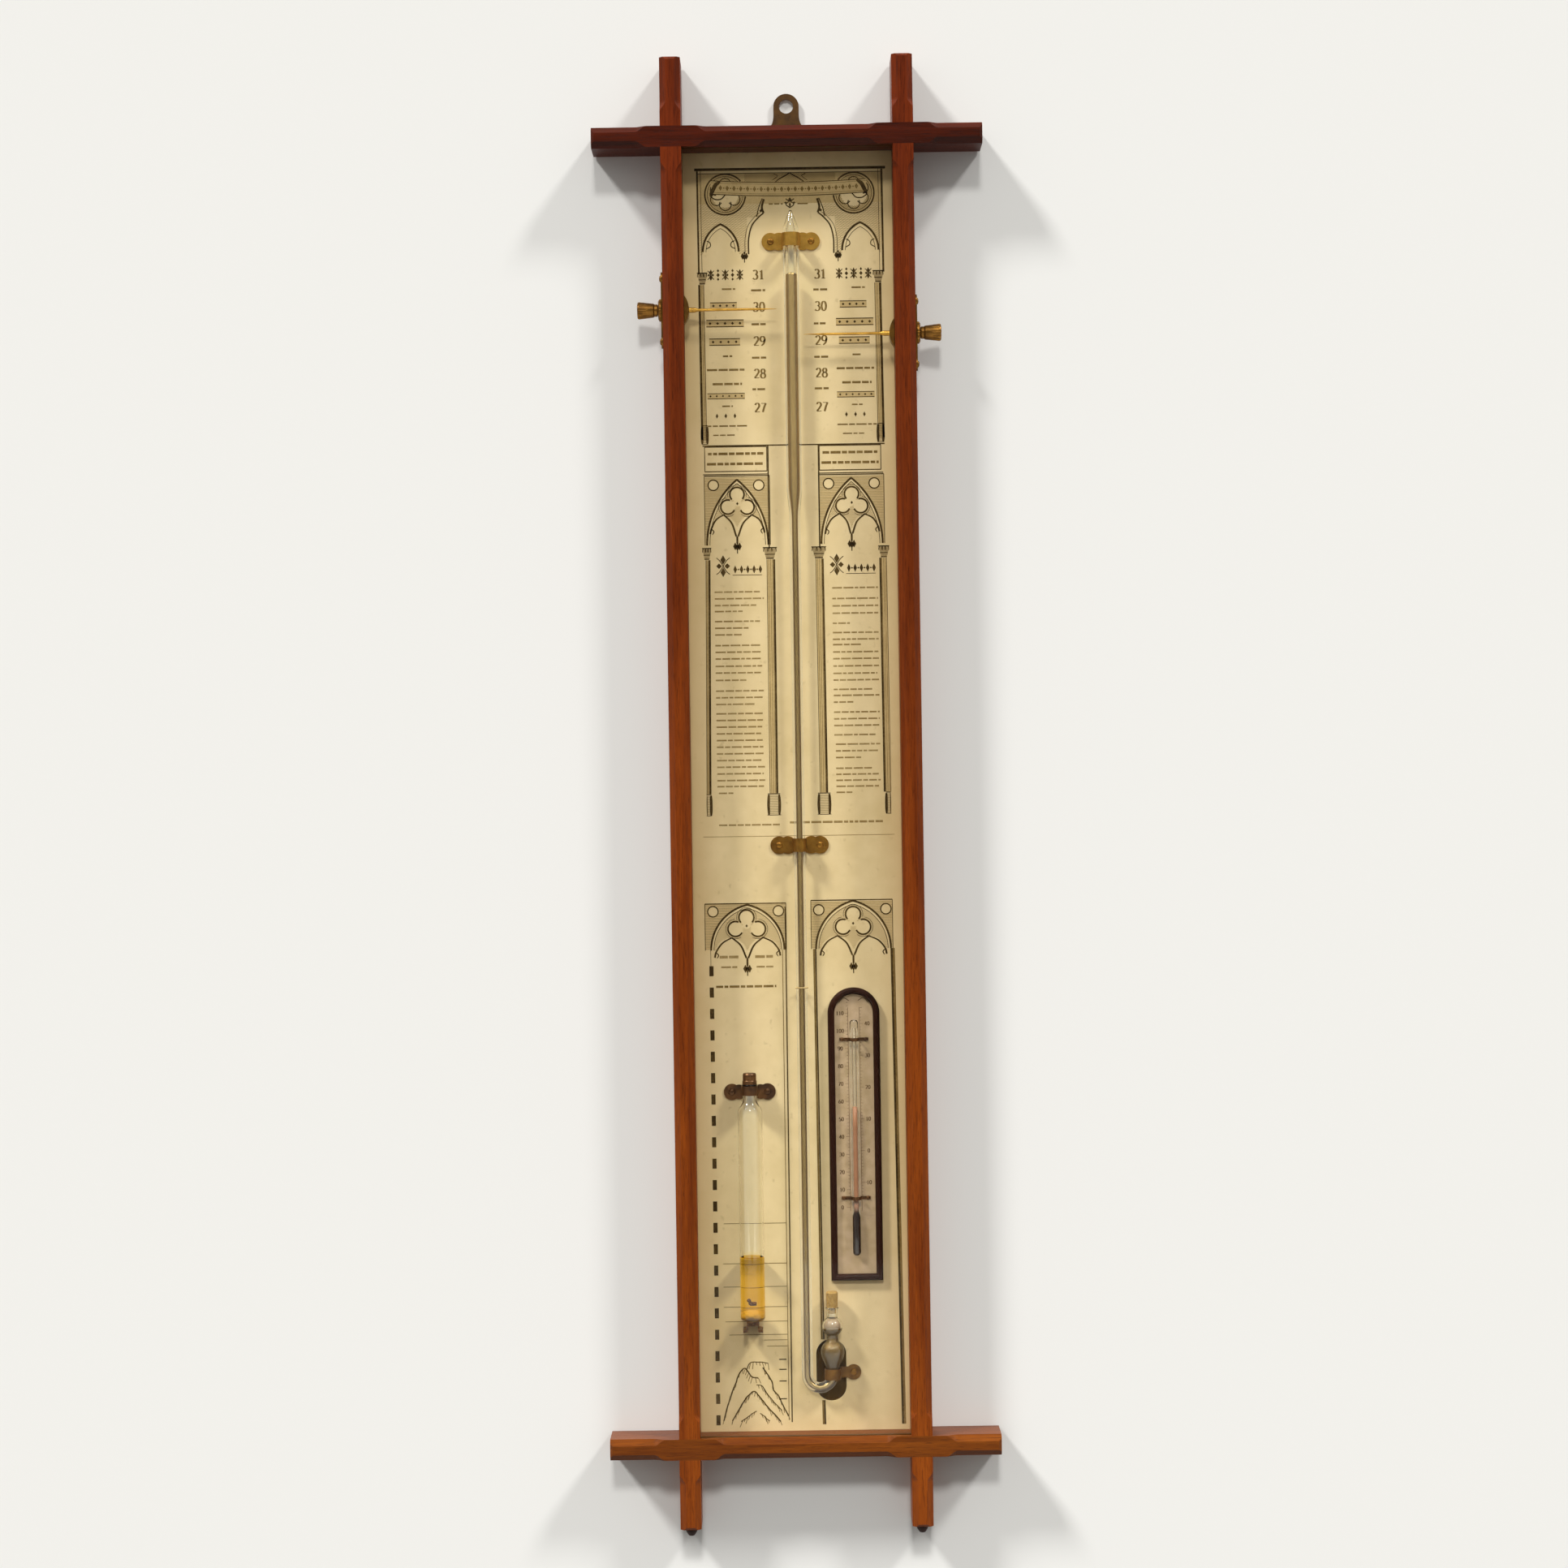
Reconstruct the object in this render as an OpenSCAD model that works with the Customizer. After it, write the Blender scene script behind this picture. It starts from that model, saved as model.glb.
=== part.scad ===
// Wall barometer in a crossed-bar wooden frame. Millimetres.
// Origin: centre of the hanging hole, on the wall. X right, Y into the wall, Z up.

// Which piece to draw

/* [Frame bars] */
// Width of every bar, seen from the front
bar_width = 15.5; // [12:0.5:20]
// Distance between the centre lines of the two stiles
stile_spacing = 172; // [160:1:190]
// Height of the stiles' tops above the hanging hole
stile_rise = 31.5; // [20:0.5:50]
// Length of the two stiles
stile_length = 1091; // [1060:1:1150]
// Length of the two rails
rail_length = 290; // [250:1:340]
// Distance from the hanging hole down to the top rail
top_rail_drop = 20; // [16:0.5:26]
// Length of a stile below the bottom rail
bottom_horn = 52; // [40:0.5:64]
// Width of the chamfer on each face of a front edge
chamfer_width = 4.5; // [2.5:0.1:6]
// Length of the curved stop at each end of a chamfer
stop_length = 9; // [5:0.5:14]
// Plain wood left between a stop and the crossing
stop_margin = 9.8; // [5:0.1:14]
// Flats that follow the curve of a stop
stop_flats = 6; // [4:1:10]
// Bevel on the front edge of each bar's end
end_bevel = 2; // [0.5:0.5:4]

/* [Stile tips] */
// Radius of the turned tip where it meets the stile
tip_radius = 4.9; // [3:0.1:7]
// Height of the turned tip below the stile
tip_height = 7.4; // [5:0.1:12]
// Radius of the tip's peg
tip_peg_radius = 2; // [1:0.1:3]
// Length of the tip's peg
tip_peg_length = 8; // [4:0.5:14]

/* [Glass and back] */
// Depth of wood in front of the glass
lip_depth = 6; // [4:0.5:8]
// Thickness of the glass
glass_thickness = 2; // [1.5:0.1:3]
// How far the glass goes into each bar
glass_bite = 4; // [3:0.5:6]
// Depth of the glazing slips behind the glass
slip_depth = 4; // [3:0.5:5]
// Gap at the edges of the glass, the card and the board
edge_gap = 0.25; // [0.1:0.05:0.5]
// Thickness of the printed card
card_thickness = 0.5; // [0.3:0.1:1]
// Thickness of the backboard
board_thickness = 6; // [5:0.5:7]
// How far the card and the board go into each bar
board_bite = 6; // [4:0.5:8]
// Distance from the backboard to the wall
board_recess = 2; // [1.6:0.1:4]
// Radius of the pins that hold the backboard
pin_radius = 0.6; // [0.4:0.1:0.8]
// Length of the pins that hold the backboard
pin_length = 10; // [8:0.5:14]
// Spaces between the pins down each stile
pin_spaces = 5; // [2:1:8]
// Distance from a rail to the nearest pin
pin_margin = 60; // [40:1:80]
// Clear space between the storm glass and the pane
pane_clearance = 0.8; // [0.5:0.1:3]

/* [Hanger] */
// Radius of the hanging hole
hanger_hole_radius = 5.3; // [4:0.1:6]
// Radius outside of the hanger's ring
hanger_ring_radius = 9.5; // [8:0.1:12]
// Thickness of the hanger plate
hanger_thickness = 1.6; // [1:0.1:2]
// Width of the hanger where it meets the rail
hanger_foot_width = 26; // [22:0.5:34]
// Length of the hanger behind the rail
hanger_foot_length = 12; // [9:0.5:14]
// Height above the rail at which the hanger has its full width
hanger_shoulder_height = 5; // [3:0.5:7]
// Height over which the hanger's sides draw in to the ring
hanger_flare_height = 9; // [6:0.5:9]
// Distance between the hanger's two screws
hanger_screw_spacing = 15; // [10:0.5:18]

/* [Screws] */
// Radius of a round-head screw's head
screw_head_radius = 2.5; // [1.8:0.1:3.5]
// Height of a round-head screw's head
screw_head_height = 1.3; // [0.8:0.1:2]
// Radius of a screw's shank
screw_shank_radius = 1; // [0.7:0.1:1.4]
// Depth that a screw goes into the board
screw_bite = 4.6; // [3:0.1:5]
// Gap round a screw or pin in its hole
hole_gap = 0.05; // [0.02:0.01:0.1]

/* [Mercury tube] */
// Sideways place of the long tube
tube_x = 2; // [-4:0.5:6]
// Distance from the top rail down to the sealed tip
tube_drop = 44.8; // [30:0.1:50]
// Radius outside of the wide upper tube
wide_radius = 5.75; // [5:0.05:6.5]
// Radius of the wide bore
wide_bore = 2.75; // [2:0.05:4.5]
// Distance from the top rail down to where the wide tube starts to narrow
narrow_drop = 249.5; // [225:0.5:275]
// Length of the cone between the wide and the narrow tube
narrow_length = 26; // [10:1:50]
// Radius outside of the narrow tube
tube_radius = 4; // [3.4:0.1:4.4]
// Radius of the narrow bore
tube_bore = 1.15; // [0.8:0.05:2.5]
// Radius of the bend at the bottom, to the tube's centre
bend_radius = 9.5; // [9:0.1:12]
// Height of the bend's centre above the bottom rail
bend_rise = 42.9; // [38:0.1:48]
// Distance from the top rail down to the mercury in the long tube
mercury_drop = 91.4; // [84:0.1:192]

/* [Cistern bulb] */
// Radius of the lower bulb
bulb_radius = 8.8; // [7:0.1:9.5]
// Height of the lower bulb's centre above the bend's
bulb_rise = 17.3; // [15:0.1:19]
// Radius of the upper ball
ball_radius = 7.65; // [6:0.05:8.5]
// Height of the upper ball's centre above the bulb's
ball_rise = 18.7; // [17.5:0.1:20]
// Gap between the upper ball and the card
ball_gap = 0.3; // [0.2:0.05:1]
// Radius of the neck between the bulb and the ball
neck_radius = 4.4; // [3.5:0.1:5]
// Radius of the open stem above the ball
stem_radius = 4.1; // [3.4:0.1:4.8]
// Height of the stem's rim above the ball's centre
stem_rise = 14.1; // [12:0.1:16]
// Thickness of the bulbs' glass
bulb_wall = 1; // [0.7:0.1:1.4]
// Depth of the mercury below the ball's centre
cistern_level = 1.2; // [-3:0.1:4]
// Height of the stopper above the stem
cork_rise = 12; // [8:0.5:16]
// Radius of the stopper's top
cork_radius = 4.5; // [4:0.1:5.5]
// Width of the oval recess behind the bulb
recess_width = 22.4; // [21:0.1:26]
// Height of the oval recess
recess_height = 46.1; // [42:0.1:52]
// Height of the oval recess's centre above the bend's
recess_rise = 2.2; // [0:0.1:4]
// Depth of the recess in the backboard
recess_depth = 4; // [3.5:0.1:5]

/* [Tube clips] */
// Thickness of the clips' brass strip
strip_thickness = 0.9; // [0.6:0.1:1.2]
// Gap between a clip and its tube
clip_gap = 0.15; // [0.1:0.05:0.3]
// Height of the strap over the tube
strap_height = 10; // [6:0.5:12]
// Radius of the round lobes
lobe_radius = 6.6; // [5:0.1:7.5]
// Distance from the tube's centre to an inner lobe
inner_lobe_x = 8.8; // [8:0.1:10]
// Distance from the tube's centre to an outer lobe
outer_lobe_x = 15.2; // [13:0.1:18]
// Distance from the top rail down to the upper clip
upper_clip_drop = 67; // [63:0.5:74]
// Height of the middle clip above the thermometer
middle_clip_rise = 107.1; // [60:0.5:160]
// Height of the strap at the cistern's foot, above the bend's centre
cistern_clip_rise = 0.6; // [0.4:0.1:0.8]
// Height of that strap's brass
cistern_clip_height = 8; // [6:0.1:8.4]
// Radius inside of that strap
cistern_clip_radius = 5.3; // [5.3:0.05:5.8]
// Distance from the stem's centre to that strap's screw
cistern_lobe_x = 15.6; // [13:0.1:19]
// Radius of that strap's lobe
cistern_lobe_radius = 5.7; // [4.5:0.1:7]

/* [Storm glass] */
// Sideways place of the storm glass
storm_x = -38; // [-45:0.5:-35]
// Radius of the storm glass
storm_radius = 9.2; // [8:0.1:9.6]
// Thickness of its wall
storm_wall = 1; // [0.7:0.1:1.5]
// Gap between the storm glass and the card
storm_gap = 0.3; // [0.2:0.05:1]
// Height of its bottom above the bottom rail
storm_rise = 84.2; // [60:0.1:110]
// Length of its straight body
storm_body = 155.8; // [130:0.1:180]
// Height of its shoulder's curve
shoulder_height = 9; // [6:0.5:14]
// Radius of its neck
storm_neck_radius = 5.2; // [4:0.1:6]
// Length of its neck above the shoulder
storm_neck = 11.4; // [10:0.1:16]
// Depth of what fills it
liquid_depth = 48; // [20:0.1:110]
// Depth of the crystals at the bottom
crystal_depth = 9; // [3:0.5:20]
// Radius of the stopper's cap
stopper_radius = 5.4; // [5.2:0.1:7]
// Height of the stopper's cap
stopper_height = 8.4; // [5:0.1:12]
// Distance from the storm glass's centre to a clip lobe
storm_lobe_x = 13.3; // [12:0.1:16]
// Radius of the storm clip's lobes
storm_lobe_radius = 6.1; // [5:0.1:7]
// Height of the storm clip's strap
storm_strap_height = 7; // [5:0.5:9]
// Distance from the storm glass's centre to a clip's inner lobe
storm_inner_lobe_x = 8; // [7:0.1:9]
// Width across the feet of the stirrup under the storm glass
stirrup_width = 14.8; // [12:0.1:18]
// Width of the stirrup's crown
crown_width = 9.2; // [8:0.1:11]
// Height of the stirrup's crown
crown_height = 5.6; // [5:0.1:8]
// Thickness of the stirrup's feet
stirrup_foot = 2.6; // [1.6:0.1:4]
// How far the stirrup stands out from the card
stirrup_reach = 15; // [10:0.5:18]
// Radius of the head of the stirrup's screw
stirrup_screw_head = 1.7; // [1.3:0.1:2]

/* [Thermometer] */
// Sideways place of the thermometer
thermo_x = 40.4; // [38:0.1:46]
// Width outside of its arched frame
thermo_width = 38.8; // [34:0.1:44]
// Height of its frame's bottom above the bottom rail
thermo_rise = 112; // [110:0.5:140]
// Height of its frame
thermo_height = 219; // [200:0.5:222]
// Width of the frame's moulding
moulding_width = 5; // [4:0.1:6]
// Depth of the frame's moulding
moulding_depth = 5.5; // [4:0.1:8]
// Thickness of the scale plate
plate_thickness = 1.2; // [0.8:0.1:1.6]
// How far the scale plate goes under the moulding
plate_bite = 1.5; // [1:0.1:2.5]
// Radius of the thermometer's tube
thermo_radius = 3.2; // [2.5:0.1:4]
// Radius of its fine bore
thermo_bore = 0.55; // [0.4:0.05:0.8]
// Distance from the frame's top down to the tube's top
thermo_tube_drop = 23.8; // [16:0.1:30]
// Height of the bulb's bottom above the frame's bottom
thermo_bulb_rise = 18.8; // [12:0.1:26]
// Length of the bulb
thermo_bulb_length = 34.2; // [26:0.1:40]
// Height of the red column above the bulb
spirit_rise = 77.4; // [10:0.1:125]
// Distance from the frame's top down to the upper tube clip
thermo_clip_drop = 38.7; // [34:0.1:48]
// Height of the lower tube clip above the bulb
thermo_clip_rise = 8.7; // [6:0.1:24]
// Height of the clips' thin strips
thermo_strip_height = 2.4; // [1.5:0.1:4]
// Thickness of the clips' thin strips
thermo_strip_thickness = 0.5; // [0.3:0.1:0.8]
// Distance from the tube's centre to a pin
thermo_pin_x = 8.9; // [7:0.1:11]
// Radius of a pin's head
thermo_pin_head = 1.5; // [1:0.1:2.2]

/* [Recording pointers] */
// Distance from the top rail down to the left pointer, as drawn
left_pointer_drop = 118.6; // [92:0.1:191]
// Distance from the top rail down to the right pointer, as drawn
right_pointer_drop = 137.9; // [92:0.1:191]
// Distance from the top rail down to a pointer's highest place
pointer_high_drop = 91.6; // [88:0.1:92]
// Distance from the top rail down to a pointer's lowest place
pointer_low_drop = 191.6; // [191:0.1:206]
// Distance from the frame's front to the pointers
pointer_depth = 18; // [16:0.5:20]
// Width of the slot through each stile
slot_width = 5; // [4:0.1:6]
// Gap on each side of the block that runs in the slot
slot_gap = 0.05; // [0.03:0.01:0.1]
// Height of the block that runs in the slot
block_height = 7; // [5:0.5:12]
// Gap between the moving plates and the stile
plate_gap = 0.3; // [0.2:0.05:0.5]
// Length of the outer slide plate
slide_length = 57; // [40:0.5:70]
// Width of the slide plate's waist
slide_width = 8; // [7:0.1:10]
// Radius of the slide plate's round ends
slide_end_radius = 5; // [4.2:0.1:6]
// Thickness of the slide plate
slide_thickness = 1.2; // [0.8:0.1:2]
// Radius of the rivet heads on the slide plate
rivet_radius = 2.6; // [1.5:0.1:3.5]
// Height of the rivet heads
rivet_height = 1.3; // [0.6:0.1:2]
// Height of the domed inner plate
inner_height = 21; // [16:0.5:26]
// Thickness of the domed inner plate
inner_thickness = 3.5; // [2.5:0.1:4.5]
// Width of the domed inner plate
inner_width = 10; // [8:0.5:12]
// Radius of the threaded spindle
spindle_radius = 2; // [1.5:0.1:2.5]
// Gap between the long tube and the left pointer's tip
left_tip_gap = 5.5; // [1.5:0.1:20]
// Gap between the long tube and the right pointer's tip
right_tip_gap = 2.8; // [1.5:0.1:20]
// Radius of a pointer where it leaves its boss
pointer_radius = 1.1; // [0.7:0.1:1.5]
// Radius of a pointer's boss
boss_radius = 1.9; // [1.5:0.1:2.5]
// Length of a pointer's sharpened end
point_length = 16; // [6:0.5:25]

/* [Knobs] */
// Length of a knob
knob_length = 15.3; // [10:0.1:20]
// Radius of a knob's outer end
knob_radius = 6.4; // [5:0.1:8]
// Radius of a knob's inner end
knob_root_radius = 4.6; // [3.5:0.1:6]
// Number of flutes round a knob
knob_flutes = 10; // [6:1:16]
// Radius of a flute
flute_radius = 1; // [0.6:0.1:1.5]
// Gap between a knob and the spindle
knob_gap = 0.06; // [0.03:0.01:0.1]
// Gap between a knob and its collar
knob_end_gap = 0.3; // [0.2:0.05:0.6]
// Depth of the spindle inside a knob
knob_bore_depth = 10; // [6:0.5:12]
// Radius of the collar under a knob
collar_radius = 8.3; // [7:0.1:10]
// Thickness of the collar
collar_thickness = 2.2; // [1.5:0.1:3]
// Scallops round the collar
collar_scallops = 12; // [8:1:16]

/* [Hidden] */
$fn = 48;
stile_x = stile_spacing / 2;
sight_x = stile_x - bar_width / 2;
outer_x = stile_x + bar_width / 2;
stile_bottom_z = stile_rise - stile_length;
sight_top_z = -top_rail_drop - bar_width;
sight_bottom_z = stile_bottom_z + bottom_horn + bar_width;
sight_height = sight_top_z - sight_bottom_z;
board_y = -board_recess - board_thickness;
card_y = board_y - card_thickness;
storm_y = card_y - storm_gap - storm_radius;
slip_y = storm_y - storm_radius - pane_clearance;
glass_y = slip_y - glass_thickness;
bar_depth = lip_depth - glass_y;
lap_y = -bar_depth / 2;
pointer_y = -bar_depth + pointer_depth;
wide_y = card_y - ball_gap - ball_radius;
cistern_x = tube_x + 2 * bend_radius;
tube_top_z = sight_top_z - tube_drop;
narrow_z = sight_top_z - narrow_drop;
mercury_top_z = sight_top_z - mercury_drop;
upper_clip_z = sight_top_z - upper_clip_drop;
left_pointer_z = sight_top_z - left_pointer_drop;
right_pointer_z = sight_top_z - right_pointer_drop;
pointer_high_z = sight_top_z - pointer_high_drop;
pointer_low_z = sight_top_z - pointer_low_drop;
bend_z = sight_bottom_z + bend_rise;
bulb_z = bend_z + bulb_rise;
ball_z = bulb_z + ball_rise;
stem_top_z = ball_z + stem_rise;
cistern_level_z = ball_z - cistern_level;
recess_z = bend_z + recess_rise;
cistern_clip_z = bend_z + cistern_clip_rise;
storm_bottom_z = sight_bottom_z + storm_rise;
storm_shoulder_z = storm_bottom_z + storm_body;
storm_rim_z = storm_shoulder_z + shoulder_height + storm_neck;
liquid_top_z = storm_bottom_z + liquid_depth;
storm_clip_z = storm_rim_z - 1.2 - storm_strap_height / 2;
storm_lobe_z = storm_clip_z - 1.6;
thermo_bottom_z = sight_bottom_z + thermo_rise;
thermo_top_z = thermo_bottom_z + thermo_height;
arch_z = thermo_top_z - thermo_width / 2;
middle_clip_z = thermo_top_z + middle_clip_rise;
thermo_tube_top_z = thermo_top_z - thermo_tube_drop;
thermo_clip_high_z = thermo_top_z - thermo_clip_drop;
thermo_bulb_bottom_z = thermo_bottom_z + thermo_bulb_rise;
thermo_bulb_top_z = thermo_bulb_bottom_z + thermo_bulb_length;
thermo_clip_low_z = thermo_bulb_top_z + thermo_clip_rise;
spirit_top_z = thermo_bulb_top_z + spirit_rise;
plate_y = card_y - plate_thickness;
thermo_y = plate_y - thermo_radius;
left_reach = sight_x + tube_x - wide_radius - left_tip_gap;
right_reach = sight_x - tube_x - wide_radius - right_tip_gap;
cork_z = stem_top_z;
cork_bore = stem_radius - bulb_wall;
block_inner_x = sight_x - plate_gap;
block_outer_x = outer_x + plate_gap;
collar_x = block_outer_x + slide_thickness;
knob_x = collar_x + collar_thickness + knob_end_gap;
slot_top_z = pointer_high_z + block_height / 2 + 0.5;
slot_low_z = pointer_low_z - block_height / 2 - 0.5;
slide_end_z = slide_length / 2 - slide_end_radius;

// Screws in the card and the board, as [x, z]
clip_screws_at = [
    [tube_x - outer_lobe_x, upper_clip_z],
    [tube_x + outer_lobe_x, upper_clip_z],
    [tube_x - outer_lobe_x, middle_clip_z],
    [tube_x + outer_lobe_x, middle_clip_z],
    [cistern_x + cistern_lobe_x, cistern_clip_z],
];
storm_screws_at = [
    [storm_x - storm_lobe_x, storm_lobe_z],
    [storm_x + storm_lobe_x, storm_lobe_z],
    [storm_x, storm_bottom_z - (crown_height + strip_thickness) / 2],
];
pins_z = [for (i = [0:pin_spaces])
    sight_top_z - pin_margin - i * (sight_height - 2 * pin_margin) / pin_spaces];

wood = [0.44, 0.17, 0.06];
brass = [0.56, 0.42, 0.2];
dark_brass = [0.3, 0.21, 0.12];
bronze = [0.3, 0.22, 0.13];
card = [0.9, 0.8, 0.6];
pale_glass = [0.8, 0.85, 0.8, 0.35];
black = [0.06, 0.04, 0.03];
silver = [0.55, 0.54, 0.52];
pale_cork = [0.8, 0.64, 0.38];

// Points along an arc round (x, y)
function arc(x, y, r, from, to, steps) =
    [for (i = [0:steps])
        let (a = from + (to - from) * i / steps)
        [x + r * cos(a), y + r * sin(a)]];

// Radii that swell smoothly from one height to another
function swell(z0, r0, z1, r1, steps) =
    [for (i = [0:steps])
        let (t = i / steps)
        [r0 + (r1 - r0) * (1 - cos(180 * t)) / 2, z0 + (z1 - z0) * t]];

// A cylinder that points away from the wall
module peg_y(x, y0, y1, z, r) {
    translate([x, max(y0, y1), z])
        rotate([90, 0, 0])
            cylinder(h = abs(y1 - y0), r = r);
}

// A turned piece, its profile's height pointing away from the wall
module turned_y(x, y, z, profile) {
    translate([x, y, z])
        rotate([90, 0, 0])
            rotate_extrude()
                polygon(profile);
}

// Removes a stopped chamfer from an edge along X, the wood towards +Y and +Z
module chamfer_cut(length, stop_start, stop_end) {
    deep = chamfer_width / sqrt(2);
    n = stop_flats;
    start = !stop_start ? [[-1, deep]] :
        [for (i = [0:n])
            [stop_length * i / n, deep * (1 - cos(180 * i / n)) / 2 - (i == 0 ? 0.05 : 0)]];
    finish = !stop_end ? [[length + 1, deep]] :
        [for (i = [n:-1:0])
            [length - stop_length * i / n,
                deep * (1 - cos(180 * i / n)) / 2 - (i == 0 ? 0.05 : 0)]];
    outside = [[finish[len(finish) - 1][0], -3], [start[0][0], -3]];
    rotate([45, 0, 0])
        linear_extrude(height = 4 * chamfer_width, center = true)
            polygon(concat(start, finish, outside));
}

// Both front edges of a bar along X, between x0 and x1
module edge_pair(x0, x1, stop_start, stop_end) {
    for (side = [0, 1])
        mirror([0, 0, side])
            translate([x0, -bar_depth, -bar_width / 2])
                chamfer_cut(x1 - x0, stop_start, stop_end);
}

// A bar along X with crossings that start at a and b
module bar(length, a, b) {
    difference() {
        translate([0, -bar_depth, -bar_width / 2])
            cube([length, bar_depth, bar_width]);
        edge_pair(0, a - stop_margin, false, true);
        edge_pair(a + bar_width + stop_margin, b - stop_margin, true, true);
        edge_pair(b + bar_width + stop_margin, length, true, false);
        for (x = [0, length])
            translate([x, -bar_depth, 0])
                rotate([0, 0, 45])
                    cube([end_bevel * sqrt(2), end_bevel * sqrt(2), bar_width + 2], center = true);
    }
}

// Groove for the glass and its slips, and the rebate for the card and the board
module glazing_space() {
    x = sight_x + glass_bite;
    translate([-x, glass_y, sight_bottom_z - glass_bite])
        cube([2 * x, glass_thickness + slip_depth, sight_height + 2 * glass_bite]);
    bx = sight_x + board_bite;
    translate([-bx, card_y, sight_bottom_z - board_bite])
        cube([2 * bx, 20, sight_height + 2 * board_bite]);
}

// The two crossings of a stile, between two depths
module crossings(x, y0, y1) {
    for (z = [-top_rail_drop - bar_width, sight_bottom_z - bar_width])
        translate([x - bar_width / 2, y0, z])
            cube([bar_width, y1 - y0, bar_width]);
}

// Slot for a pointer, through the right stile
module pointer_slot() {
    translate([sight_x - 1, pointer_y - slot_width / 2, slot_low_z])
        cube([bar_width + 2, slot_width, slot_top_z - slot_low_z]);
}

// One pin of the right stile
module board_pin(z, r) {
    translate([sight_x + 0.5, -board_recess + pin_radius, z])
        rotate([0, 90, 0])
            cylinder(h = pin_length, r = r, $fn = 16);
}

module right_stile_shape() {
    difference() {
        translate([stile_x, 0, stile_bottom_z])
            rotate([0, -90, 0])
                bar(stile_length, sight_bottom_z - bar_width - stile_bottom_z,
                    sight_top_z - stile_bottom_z);
        crossings(stile_x, -bar_depth - 1, lap_y);
        glazing_space();
        pointer_slot();
        for (z = pins_z)
            board_pin(z, pin_radius + hole_gap);
        translate([stile_x, lap_y, stile_bottom_z - 1])
            cylinder(h = tip_peg_length + 1.5, r = tip_peg_radius + hole_gap);
    }
}

module right_stile() {
    color(wood)
        right_stile_shape();
}

module left_stile() {
    color(wood)
        mirror([1, 0, 0])
            right_stile_shape();
}

module rail(z) {
    difference() {
        translate([-rail_length / 2, 0, z])
            bar(rail_length, rail_length / 2 - outer_x, rail_length / 2 + sight_x);
        for (x = [-stile_x, stile_x])
            crossings(x, lap_y, 1);
        glazing_space();
    }
}

module top_rail() {
    color(wood)
        difference() {
            rail(-top_rail_drop - bar_width / 2);
            hanger_solid(hole_gap);
            for (x = [-1, 1])
                peg_y(x * hanger_screw_spacing / 2, 1, -13, hanger_screw_z(), 1.5 + hole_gap);
        }
}

module bottom_rail() {
    color(wood)
        rail(sight_bottom_z - bar_width / 2);
}

module right_tip_shape() {
    h = tip_height;
    r = tip_radius;
    translate([stile_x, lap_y, stile_bottom_z])
        rotate_extrude()
            polygon([
                [0, tip_peg_length], [tip_peg_radius, tip_peg_length],
                [tip_peg_radius, 0], [r, 0], [r, -0.16 * h], [0.84 * r, -0.26 * h],
                [0.9 * r, -0.45 * h], [0.78 * r, -0.66 * h], [0.54 * r, -0.9 * h],
                [0.4 * r, -h], [0, -h],
            ]);
}

module right_tip() {
    color(black)
        right_tip_shape();
}

module left_tip() {
    color(black)
        mirror([1, 0, 0])
            right_tip_shape();
}

module glass_pane() {
    x = sight_x + glass_bite - edge_gap;
    h = sight_height + 2 * (glass_bite - edge_gap);
    color(pale_glass)
        translate([-x, glass_y, sight_bottom_z - glass_bite + edge_gap])
            cube([2 * x, glass_thickness, h]);
}

module side_slip(side) {
    x = side > 0 ? sight_x : -sight_x - glass_bite;
    color(wood)
        translate([x, slip_y, sight_bottom_z - glass_bite + edge_gap])
            cube([glass_bite, slip_depth, sight_height + 2 * (glass_bite - edge_gap)]);
}

module left_slip() {
    side_slip(-1);
}

module right_slip() {
    side_slip(1);
}

module end_slip(z) {
    color(wood)
        translate([-sight_x, slip_y, z])
            cube([2 * sight_x, slip_depth, glass_bite]);
}

module top_slip() {
    end_slip(sight_top_z);
}

module bottom_slip() {
    end_slip(sight_bottom_z - glass_bite);
}

// Oval outline of the recess behind the bulb
module recess_outline() {
    r = recess_width / 2;
    up = recess_height / 2 - r;
    polygon(concat(arc(0, up, r, 0, 180, 24), arc(0, -up, r, 180, 360, 24)));
}

module recess(depth) {
    translate([cistern_x - 1, card_y + depth, recess_z])
        rotate([90, 0, 0])
            linear_extrude(height = depth + 1)
                recess_outline();
}

module screw_holes(places, from, to) {
    for (p = places)
        peg_y(p[0], from, to, p[1], screw_shank_radius + hole_gap);
}

// A sheet inside the frame, between two depths
module sheet(y0, y1) {
    x = sight_x + board_bite - edge_gap;
    h = sight_height + 2 * (board_bite - edge_gap);
    translate([-x, y0, sight_bottom_z - board_bite + edge_gap])
        cube([2 * x, y1 - y0, h]);
}

module chart() {
    color(card)
        difference() {
            sheet(card_y, board_y);
            recess(card_thickness + 1);
            screw_holes(concat(clip_screws_at, storm_screws_at), card_y - 1, board_y + 1);
        }
}

module backboard() {
    color(wood)
        difference() {
            sheet(board_y, -board_recess);
            recess(card_thickness + recess_depth);
            screw_holes(concat(clip_screws_at, storm_screws_at), card_y, card_y + screw_bite);
        }
}

module backboard_pins() {
    color(dark_brass)
        for (side = [0, 1])
            mirror([side, 0, 0])
                for (z = pins_z)
                    board_pin(z, pin_radius);
}

function hanger_screw_z() = -top_rail_drop - hanger_foot_length / 2;

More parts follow.
